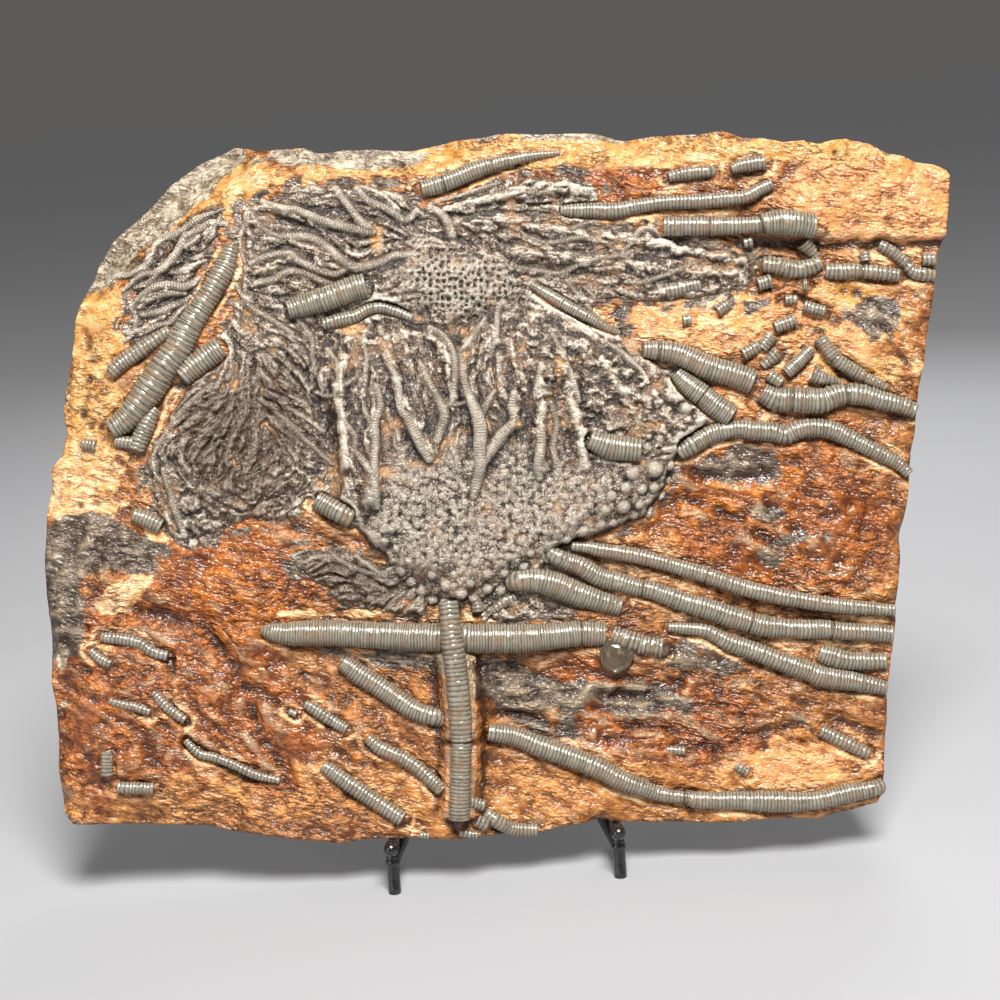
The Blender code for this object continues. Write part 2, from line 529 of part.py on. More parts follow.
def back_point(x, y, s, t):
    """A point of the back, drawn in from the outline, and no lower than the seat."""
    back_x = SHEET_MIDDLE + (x - SHEET_MIDDLE) * BACK_DRAW_IN
    back_y = SHEET_MIDDLE + (y - SHEET_MIDDLE) * (1 if math.isclose(t, 1, abs_tol=0.001) else BACK_DRAW_IN)
    across, up = sheet_to_face(back_x, back_y)
    beside_uprights = smooth((abs(across - (ARM_LEFT + ARM_RIGHT) / 2) - EASEL_HALF_WIDTH) / EASEL_MARGIN)
    hollow = BACK_HOLLOW * beside_uprights * smooth(noise.noise(Vector((x / 90, y / 90, 9.4))) + 0.3)
    edge = min(s, 1 - s, t, 1 - t)
    hollow += BACK_EDGE_FALL * smooth(1 - edge / BACK_EDGE_SHARE)
    return face_point(across, max(up, SEAT), hollow - SLAB_THICKNESS)


def move_side_point(vert, share, spread, wave_height):
    """Moves an edge point this share of the way to the back, spread from the middle."""
    from_origin = vert.co - ORIGIN
    across, up, out = (from_origin.dot(axis) for axis in (ACROSS, UP_FACE, OUT_OF_FACE))
    wave = wave_height * noise.noise(vert.co * 40 + Vector((0, 0, share * 9)))
    if up > SEAT * SEAT_ZONE:
        up = up * spread + wave
    elif min(abs(across - ARM_LEFT), abs(across - ARM_RIGHT)) < SEAT_HALF_WIDTH:
        up = SEAT
    across = across * spread + wave
    vert.co = face_point(across, up, out + share * (-SLAB_THICKNESS - out))


# ---- crowns --------------------------------------------------------------------------
def outline_prism(name, outline, grow, low, high, group):
    """A prism over a sheet outline, grown by this much, between two heights."""
    middle = [sum(p[i] for p in outline) / len(outline) for i in (0, 1)]
    reach = max(math.dist(p, middle) for p in outline)
    flat = bpy.data.curves.new(name, "CURVE")
    flat.dimensions = "2D"
    flat.fill_mode = "BOTH"
    flat.extrude = (high - low) / 2
    spline = flat.splines.new("POLY")
    spline.points.add(len(outline) - 1)
    spline.use_cyclic_u = True
    for spot, (x, y) in zip(spline.points, outline):
        share = 1 + grow / (SHEET_UNIT * reach)
        across, up = sheet_to_face(middle[0] + (x - middle[0]) * share, middle[1] + (y - middle[1]) * share)
        spot.co = (across, up, 0, 1)
    guide = bpy.data.objects.new(name + "_guide", flat)
    bpy.context.scene.collection.objects.link(guide)
    guide.location = face_point(0, 0, (low + high) / 2)
    guide.rotation_euler = (math.pi / 2 - LEAN, 0, 0)
    mesh = evaluated_mesh(guide)
    bpy.data.objects.remove(guide)
    return new_object(name, mesh, None, group)


def make_crown(name, crown, slab_tree, group, finish, grow=0.0):
    """A block whose top follows the crown's relief, trimmed to its outline."""
    outline = crown["outline"]
    low_x, low_y = (min(p[i] for p in outline) - BLOCK_MARGIN for i in (0, 1))
    high_x, high_y = (max(p[i] for p in outline) + BLOCK_MARGIN for i in (0, 1))
    columns = round((high_x - low_x) / crown["cell"])
    rows = round((high_y - low_y) / crown["cell"])
    shape = bmesh.new()
    top = bmesh.ops.create_grid(shape, x_segments=columns, y_segments=rows, size=0.5)["verts"]
    floor = bmesh.ops.extrude_face_region(shape, geom=shape.faces[:])["geom"]
    floor = [v for v in floor if isinstance(v, bmesh.types.BMVert)]
    for vert in top:
        x, y = low_x + (vert.co.x + 0.5) * (high_x - low_x), low_y + (0.5 - vert.co.y) * (high_y - low_y)
        vert.co = place(x, y, stone_height(slab_tree, x, y) + crown_rise(crown, x, y) + grow)
    for vert in floor:
        x, y = low_x + (vert.co.x + 0.5) * (high_x - low_x), low_y + (0.5 - vert.co.y) * (high_y - low_y)
        vert.co = place(x, y, stone_height(slab_tree, x, y) - BED_DEPTH)
    block = new_object(name, mesh_from(shape, name), finish, group)
    prism = outline_prism(name + "_prism", outline, PRISM_GROWTH * grow, PRISM_LOW, PRISM_HIGH, group)
    combine(block, prism, "INTERSECT")
    bpy.data.objects.remove(prism)
    for points in ARMS.get(name.removesuffix("_cutter"), ()):
        line = smooth_line(points, ARM_STEP / SHEET_UNIT)
        spots = [place(x, y, ground(slab_tree, x, y) + ARM_LIFT * width * MM / 2) for x, y, width in line]
        extend_ends(spots, grow)
        widths = [spot[2] * MM + 2 * grow for spot in line]
        arm = tube(name + "_arm", spots, widths, group, finish, ARM_RESOLUTION)
        combine(block, arm, "UNION")
        bpy.data.objects.remove(arm)
    return block


# ---- stems ---------------------------------------------------------------------------
def stem_line(stem, slab_tree):
    """World points and widths along a stem, with ribs where it has them."""
    points = stem["points"]
    if "heights" in stem:
        points = [(*p, h * MM) for p, h in zip(points, stem["heights"])]
    ring = stem.get("ring")
    step = (ring * MM / 2 if ring else TUBE_STEP) / SHEET_UNIT
    line = smooth_line(points, step)
    spots, widths = [], []
    for number, spot in enumerate(line):
        x, y, width = spot[0], spot[1], spot[2] * MM
        height = spot[3] if len(spot) > 3 else ground(slab_tree, x, y) + stem["lift"] * width / 2
        if ring:
            width *= 1 + RING_DEPTH * (1 if number % 2 else -1)
        spots.append(place(x, y, height))
        widths.append(width)
    return spots, widths


def make_stem(name, stem, slab_tree, group, finish, grow=0.0):
    spots, widths = stem_line(stem, slab_tree)
    extend_ends(spots, grow)
    resolution = TUBE_RESOLUTION if max(widths) > THICK_STEM else THIN_RESOLUTION
    return tube(name, spots, [w + 2 * grow for w in widths], group, finish, resolution)


def make_plate(name, outline, slab_tree, group, finish, grow=0.0):
    """The loose plate: a thin prism on the bed."""
    middle = [sum(p[i] for p in outline) / len(outline) for i in (0, 1)]
    top = stone_height(slab_tree, *middle) + LOOSE_PLATE_RISE + grow
    plate = outline_prism(name, outline, grow, -BED_DEPTH, top, group)
    if finish:
        plate.data.materials.append(bpy.data.materials[finish])
    return plate


# ---- the easel -----------------------------------------------------------------------
def stand_flat(thing):
    """Cuts a bar off at the surface it stands on and closes the cut."""
    shape = bmesh.new()
    shape.from_mesh(thing.data)
    geometry = shape.verts[:] + shape.edges[:] + shape.faces[:]
    cut = bmesh.ops.bisect_plane(
        shape, geom=geometry, plane_co=(0, 0, 0), plane_no=(0, 0, 1), clear_inner=True)
    edges = [e for e in cut["geom_cut"] if isinstance(e, bmesh.types.BMEdge)]
    bmesh.ops.contextual_create(shape, geom=edges)
    bmesh.ops.recalc_face_normals(shape, faces=shape.faces)
    bmesh.ops.triangulate(shape, faces=shape.faces)
    shape.to_mesh(thing.data)
    shape.free()


def straight_bar(name, start, end, group, extra=0.0):
    run = (end - start).normalized() * extra
    return tube(name, [start - run, end + run], [2 * (ROD_RADIUS + extra)] * 2, group, "black_steel")


def easel_bars():
    """Each bar of the easel as a name and its two end points, the ones cut by others last."""
    arm_up = SEAT - GAP - ROD_RADIUS
    behind = -(SLAB_THICKNESS + GAP + ROD_RADIUS)
    middle = (ARM_LEFT + ARM_RIGHT) / 2
    first, last = [], []
    arch, floor_bar = [], []
    for side, across, inward in (("left", ARM_LEFT, 1), ("right", ARM_RIGHT, -1)):
        arm_tip = face_point(across, arm_up, ARM_REACH)
        arm_end = face_point(across, arm_up, behind - ROD_RADIUS)
        upright_foot = face_point(across, arm_up, behind)
        upright_top = face_point(middle - inward * ARCH_HALF_WIDTH, UPRIGHT_TOP, behind)
        leg_top = face_point(across, arm_up, ARM_REACH - LEG_SET_BACK)
        leg_foot = Vector((leg_top.x, leg_top.y - LEG_SLOPE, -ROD_RADIUS))
        brace_end = face_point(across + inward * BRACE_INWARD, arm_up, -SLAB_THICKNESS)
        hang = upright_top.lerp(upright_foot, PROP_HANG)
        prop_foot = Vector((hang.x - inward * PROP_SPREAD, PROP_FOOT_Y, ROD_RADIUS - FLAT_DEPTH))
        below_foot = prop_foot + (prop_foot - hang).normalized() * 2 * ROD_RADIUS
        brace_start = leg_foot.lerp(leg_top, BRACE_START)
        first += [(side + "_arm", arm_tip, arm_end), (side + "_upright", upright_foot, upright_top),
                  (side + "_front_leg", leg_top, leg_foot), (side + "_brace", brace_start, brace_end)]
        last.append((side + "_prop_leg", hang, below_foot))
        arch.append(upright_top - UP_FACE * ROD_RADIUS)
        floor_bar.append(prop_foot)
    return first + [("easel_arch", *arch)] + last + [("prop_floor_bar", *floor_bar)]


def make_easel(group):
    cutters = []
    for name, start, end in easel_bars():
        made = straight_bar(name, start, end, group)
        if name.endswith("_arm"):
            add_ball(made, start + OUT_OF_FACE * BALL_RADIUS / 2)
        for cutter, tree in cutters:
            if tree_of(made).overlap(tree):
                combine(made, cutter, "DIFFERENCE")
        keep_largest(made)
        if min(start.z, end.z) < ROD_RADIUS:
            stand_flat(made)
        cutter = straight_bar(name + "_cutter", start, end, group, GAP)
        cutters.append((cutter, tree_of(cutter)))
    for cutter, _ in cutters:
        bpy.data.objects.remove(cutter)


def add_ball(arm, centre):
    """Fuses a ball to the end of an arm."""
    shape = bmesh.new()
    bmesh.ops.create_uvsphere(shape, u_segments=10, v_segments=6, radius=BALL_RADIUS)
    bmesh.ops.translate(shape, verts=shape.verts, vec=centre)
    ball = bpy.data.objects.new("ball", mesh_from(shape, "ball"))
    bpy.context.scene.collection.objects.link(ball)
    combine(arm, ball, "UNION")
    bpy.data.objects.remove(ball)


# ---- putting it together ----------------------------------------------------------------
def make_materials():
    for name, (colour, roughness, metallic) in FINISHES.items():
        material = bpy.data.materials.new(name)
        material.use_nodes = True
        shader = material.node_tree.nodes["Principled BSDF"]
        shader.inputs["Base Color"].default_value = (*colour, 1)
        shader.inputs["Roughness"].default_value = roughness
        shader.inputs["Metallic"].default_value = metallic
        material.diffuse_color = (*colour, 1)


def tree_of(thing):
    shape = bmesh.new()
    shape.from_mesh(thing.data)
    tree = BVHTree.FromBMesh(shape)
    shape.free()
    return tree


def bed_fossils(slab, group, cutters):
    """Makes the fossils from the top-most down. Each is cut by the slab and by those above it."""
    slab_cutter = new_object("slab_cutter", slab.data.copy(), None, cutters)
    slab_cutter.data.transform(Matrix.Translation(ORIGIN + OUT_OF_FACE * GAP)
                               @ Matrix.Scale(SLAB_CUTTER_SCALE, 4) @ Matrix.Translation(-ORIGIN))
    slab_tree = tree_of(slab)
    stems = [(name, make_stem, stem, "stem_calcite") for name, stem in STEMS.items()]
    crowns = [(name, make_crown, crown, "crown_calcite") for name, crown in CROWNS.items()]
    plate = [("loose_calyx_plate", make_plate, LOOSE_PLATE, "stem_calcite")]
    over_crowns = [job for job in stems if job[0] in OVER_CROWNS]
    under_crowns = [job for job in stems if job[0] not in OVER_CROWNS]
    above = []
    for name, make, shape, finish in over_crowns + crowns + plate + under_crowns:
        piece = make(name, shape, slab_tree, group, finish)
        combine(piece, slab_cutter, "DIFFERENCE")
        for cutter, tree in above:
            if tree_of(piece).overlap(tree):
                combine(piece, cutter, "DIFFERENCE")
        keep_largest(piece)
        cutter = make(name + "_cutter", shape, slab_tree, cutters, None, grow=GAP)
        above.append((cutter, tree_of(cutter)))
    for cutter, _ in above:
        bpy.data.objects.remove(cutter)
    bpy.data.objects.remove(slab_cutter)


def main():
    for thing in list(bpy.data.objects):
        bpy.data.objects.remove(thing)
    make_materials()
    group = bpy.data.collections.new("crinoid_fossil")
    cutters = bpy.data.collections.new("cutters")
    bpy.context.scene.collection.children.link(group)
    bpy.context.scene.collection.children.link(cutters)
    slab = make_slab("stone_slab", group, "limestone")
    bed_fossils(slab, group, cutters)
    make_easel(group)


main()
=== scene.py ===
import math

import bmesh
import bpy
import numpy as np
from mathutils import Matrix, Vector
from mathutils.bvhtree import BVHTree


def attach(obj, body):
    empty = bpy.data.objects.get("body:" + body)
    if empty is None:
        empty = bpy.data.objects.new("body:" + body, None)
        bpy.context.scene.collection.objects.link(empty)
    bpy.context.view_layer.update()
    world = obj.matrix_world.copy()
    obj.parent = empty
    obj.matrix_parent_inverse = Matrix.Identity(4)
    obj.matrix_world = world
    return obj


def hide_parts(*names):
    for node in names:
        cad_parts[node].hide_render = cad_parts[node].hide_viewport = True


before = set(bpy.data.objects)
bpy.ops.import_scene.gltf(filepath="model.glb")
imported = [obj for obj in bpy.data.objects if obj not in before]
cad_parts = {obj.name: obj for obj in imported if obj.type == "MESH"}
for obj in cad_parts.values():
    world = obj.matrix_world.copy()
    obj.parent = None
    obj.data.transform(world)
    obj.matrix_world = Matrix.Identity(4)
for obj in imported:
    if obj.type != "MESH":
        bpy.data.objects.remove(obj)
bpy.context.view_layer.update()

mm = 0.001

# The face has a layout sheet of 1000 by 1000 units, x to the right and y down.
# Heights on the sheet are in mm.
plate = dict(
    origin=(-0.0015, -0.0509, 0.1656),   # sheet place (500, 500) at the level of the face
    lean=12.0,                           # degrees that the face leans back
    turn=4.1,                            # degrees that the slab is turned on the easel
    middle=500,
    unit=0.4 / 900,                      # metres in one sheet unit
    thickness=34.0,                      # mm from the face level to the flat back
)

lean = math.radians(plate["lean"])
turn = math.radians(plate["turn"])
plateOrigin = np.array(plate["origin"])
acrossAxis = np.array((1.0, 0.0, 0.0))
upAxis = np.array((0.0, math.sin(lean), math.cos(lean)))
outAxis = np.array((0.0, -math.cos(lean), math.sin(lean)))


def facePoint(across, up, out):          # metres across the face, up it and out of it
    across, up, out = [part[..., None] for part in np.broadcast_arrays(across, up, out)]
    return plateOrigin + across * acrossAxis + up * upAxis + out * outAxis


def sheetToFace(x, y):
    right = (np.asarray(x, float) - plate["middle"]) * plate["unit"]
    up = (plate["middle"] - np.asarray(y, float)) * plate["unit"]
    return (math.cos(turn) * right + math.sin(turn) * up,
            math.cos(turn) * up - math.sin(turn) * right)


def onPlate(x, y, height):               # sheet places and heights in mm to points in the frame
    across, up = sheetToFace(x, y)
    return facePoint(across, up, np.asarray(height, float) * mm)


# Noise and maps on the sheet

latticeSize = 256
latticeShift = (512.3, 512.7)            # keeps places on the lattice above zero


def noiseLattice(seed):
    return np.random.default_rng(seed).random((latticeSize, latticeSize))


def turned(x, y, angle):                 # along and across a direction, in degrees
    c, s = math.cos(math.radians(angle)), math.sin(math.radians(angle))
    return x * c + y * s, y * c - x * s


def betweenCorners(fu, fv, corners):     # top left, top right, low left, low right
    return ((corners[0] * (1 - fu) + corners[1] * fu) * (1 - fv)
            + (corners[2] * (1 - fu) + corners[3] * fu) * fv)


def smoothNoise(x, y, cell, seed, stretch=1.0, angle=0.0):   # 0 to 1, drawn out along the angle
    along, across = turned(x, y, angle)
    u = along / (cell * stretch) + latticeShift[0]
    v = across / cell + latticeShift[1]
    iu, iv = np.floor(u).astype(int), np.floor(v).astype(int)
    fu, fv = [part * part * (3 - 2 * part) for part in (u - iu, v - iv)]
    grid = noiseLattice(seed)
    return betweenCorners(fu, fv, [grid[(iv + down) % latticeSize, (iu + right) % latticeSize]
                                   for down in (0, 1) for right in (0, 1)])


def fractal(x, y, cell, seed, octaves=4, gain=0.5, stretch=1.0, angle=0.0):   # about -1 to 1
    total, size, reach = 0.0, 1.0, 0.0
    for octave in range(octaves):
        total = total + size * (smoothNoise(x, y, cell, seed + octave, stretch, angle) * 2 - 1)
        reach += size
        cell, size = cell / 2, size * gain
    return total / reach * 1.6


def pebbles(x, y, cell, seed, jitter=0.85):
    # distance to the nearest of scattered points, in cells, and that point's own tone
    u, v = x / cell + 64, y / cell + 64
    iu, iv = np.floor(u).astype(int), np.floor(v).astype(int)
    aside, below, tones = [noiseLattice(seed + number) for number in range(3)]
    nearest = np.full(u.shape, 9.0)
    tone = np.zeros(u.shape)
    for du in (-1, 0, 1):
        for dv in (-1, 0, 1):
            cu, cv = (iu + du) % latticeSize, (iv + dv) % latticeSize
            px = iu + du + 0.5 + (aside[cv, cu] - 0.5) * jitter
            py = iv + dv + 0.5 + (below[cv, cu] - 0.5) * jitter
            away = np.hypot(u - px, v - py)
            tone = np.where(away < nearest, tones[cv, cu], tone)
            nearest = np.minimum(nearest, away)
    return nearest, tone


def ease(value, low=0.0, high=1.0):      # 0 below low, 1 above high, smooth between
    share = np.clip((value - low) / (high - low), 0, 1)
    return share * share * (3 - 2 * share)


def blobs(x, y, spots):                  # soft ovals: place, half-sizes, turn in degrees, strength
    total = np.zeros(np.shape(x))
    for cx, cy, halfX, halfY, angle, strength in spots:
        along, across = turned(x - cx, y - cy, angle)
        u, v = along / halfX, across / halfY
        total = total + strength * np.exp(-(u * u + v * v) ** 1.5)
    return total


def patches(x, y, spots):                # the same, never above 1
    return np.clip(blobs(x, y, spots), 0, 1)


def softened(field, reach):              # three box blurs, close to a round one
    field = np.asarray(field, float)
    width = 2 * reach + 1
    for _ in range(3):
        for axis in (0, 1):
            pad = [(reach, reach) if a == axis else (0, 0) for a in (0, 1)]
            total = np.cumsum(np.pad(field, pad, mode="edge"), axis=axis)
            start = np.zeros_like(np.take(total, [0], axis=axis))
            total = np.concatenate([start, total], axis=axis)
            size = total.shape[axis]
            field = (np.take(total, range(width, size), axis=axis)
                     - np.take(total, range(size - width), axis=axis)) / width
    return field


class SheetMap:                          # a lattice of places on the sheet
    def __init__(self, left, top, step, columns, rows):
        self.left, self.top, self.step = left, top, step
        self.columns, self.rows = columns, rows
        self.x, self.y = np.meshgrid(left + step * np.arange(columns), top + step * np.arange(rows))

    def read(self, field, x, y):         # between the lattice's places
        u = np.clip((np.asarray(x, float) - self.left) / self.step, 0, self.columns - 1.001)
        v = np.clip((np.asarray(y, float) - self.top) / self.step, 0, self.rows - 1.001)
        iu, iv = u.astype(int), v.astype(int)
        return betweenCorners(u - iu, v - iv, [field[iv + down, iu + right]
                                               for down in (0, 1) for right in (0, 1)])

    def press(self, field, spots, profile, lowest=False):
        # raises or carves round beads at spots of x, y, radius and more columns;
        # profile gives the height from the share of the radius and the spot
        reach = int(math.ceil(spots[:, 2].max() / self.step))
        column = np.round((spots[:, 0] - self.left) / self.step).astype(int)
        row = np.round((spots[:, 1] - self.top) / self.step).astype(int)
        keep = np.minimum if lowest else np.maximum
        for down in range(-reach, reach + 1):
            for along in range(-reach, reach + 1):
                c, r = column + along, row + down
                share = np.hypot(self.left + c * self.step - spots[:, 0],
                                 self.top + r * self.step - spots[:, 1]) / spots[:, 2]
                near = (share < 1) & (c >= 0) & (c < self.columns) & (r >= 0) & (r < self.rows)
                if near.any():
                    keep.at(field, (r[near], c[near]), profile(share[near], spots[near]))


def curveThrough(points, step):          # a smooth curve through x, y, ... points, about a step apart
    points = np.array(points, float)
    ends = np.vstack([points[0], points, points[-1]])
    line = []
    for p0, p1, p2, p3 in zip(ends, ends[1:], ends[2:], ends[3:]):
        parts = max(1, int(round(np.hypot(*(p2 - p1)[:2]) / step)))
        t = (np.arange(parts) / parts)[:, None]
        line.append(0.5 * (2 * p1 + (p2 - p0) * t + (2 * p0 - 5 * p1 + 4 * p2 - p3) * t * t
                           + (3 * p1 - p0 - 3 * p2 + p3) * t ** 3))
    line.append(points[-1:])
    return np.vstack(line)


def lengthAlong(line):
    return np.concatenate([[0], np.cumsum(np.hypot(*np.diff(line[:, :2], axis=0).T))])


# Meshes

def opened(*meshes):                     # a bmesh of one or more meshes
    shape = bmesh.new()
    for mesh in meshes:
        shape.from_mesh(mesh)
    return shape


def written(shape, mesh):                # into a mesh, or into a new one of that name
    if isinstance(mesh, str):
        mesh = bpy.data.meshes.new(mesh)
    shape.to_mesh(mesh)
    shape.free()
    return mesh


def borderOf(shape):
    return [edge for edge in shape.edges if edge.is_boundary]


def readPoints(mesh):
    values = np.zeros(len(mesh.vertices) * 3, np.float32)
    mesh.vertices.foreach_get("co", values)
    return values.reshape(-1, 3).astype(float)


def writePoints(mesh, places):
    mesh.vertices.foreach_set("co", np.asarray(places, np.float32).ravel())
    mesh.update()


def readMask(mesh, name, kind=np.float32):
    values = np.zeros(len(mesh.vertices), kind)
    mesh.attributes[name].data.foreach_get("value", values)
    return values


def writeMask(mesh, name, values):
    found = mesh.attributes.get(name) or mesh.attributes.new(name, "FLOAT", "POINT")
    found.data.foreach_set("value", np.asarray(values, np.float32).ravel())


def pieceName(node, kind):               # main_crown and Relief give mainCrownRelief
    first, *others = node.split("_")
    return first + "".join(part.capitalize() for part in others) + kind


def newPiece(name, mesh, material, slot, *nodes):
    made = bpy.data.objects.new(name, mesh)
    bpy.context.scene.collection.objects.link(made)
    mesh.materials.clear()
    mesh.materials.append(material)
    mesh.shade_smooth()
    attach(made, "root")
    if nodes:
        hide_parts(*nodes)
    return made


def facedOut(mesh):                      # turns the faces of a closed mesh outwards
    shape = opened(mesh)
    bmesh.ops.recalc_face_normals(shape, faces=shape.faces)
    return written(shape, mesh)


# What the frame says about heights

def nodeTree(name):
    shape = opened(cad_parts[name].data)
    tree = BVHTree.FromBMesh(shape)
    shape.free()
    return tree


def castHeights(tree, x, y):
    # mm above the face level where rays meet a node, and nan where they miss
    starts = onPlate(x, y, 60.0).reshape(-1, 3)
    down = Vector(-outAxis)
    heights = np.full(len(starts), np.nan)
    for number, start in enumerate(starts):
        hit = tree.ray_cast(Vector(start), down)[0]
        if hit:
            heights[number] = (np.array(hit) - plateOrigin) @ outAxis / mm
    return heights.reshape(np.shape(x))


def fillGaps(field):                     # spreads known values over unknown ones
    while np.isnan(field).any():
        padded = np.pad(field, 1, constant_values=np.nan)
        around = np.stack([padded[1 + dv:padded.shape[0] - 1 + dv, 1 + du:padded.shape[1] - 1 + du]
                           for du in (-1, 0, 1) for dv in (-1, 0, 1)])
        known = ~np.isnan(around)
        mean = np.where(known, around, 0).sum(0) / np.maximum(known.sum(0), 1)
        field = np.where(np.isnan(field) & known.any(0), mean, field)
    return field


sheet = SheetMap(0, 0, 1.0, 1000, 1000)
coarse = SheetMap(0, 0, 8.0, 126, 126)
coarseStone = fillGaps(castHeights(nodeTree("stone_slab"), coarse.x, coarse.y))
stoneBase = softened(coarse.read(coarseStone, sheet.x, sheet.y), 5)
print("read the slab's face")


# Stems: points are x, y and width on the sheet, and breaks are shares of the length.
# A stem replaces the node of its name, or its node, and takes its height from it.

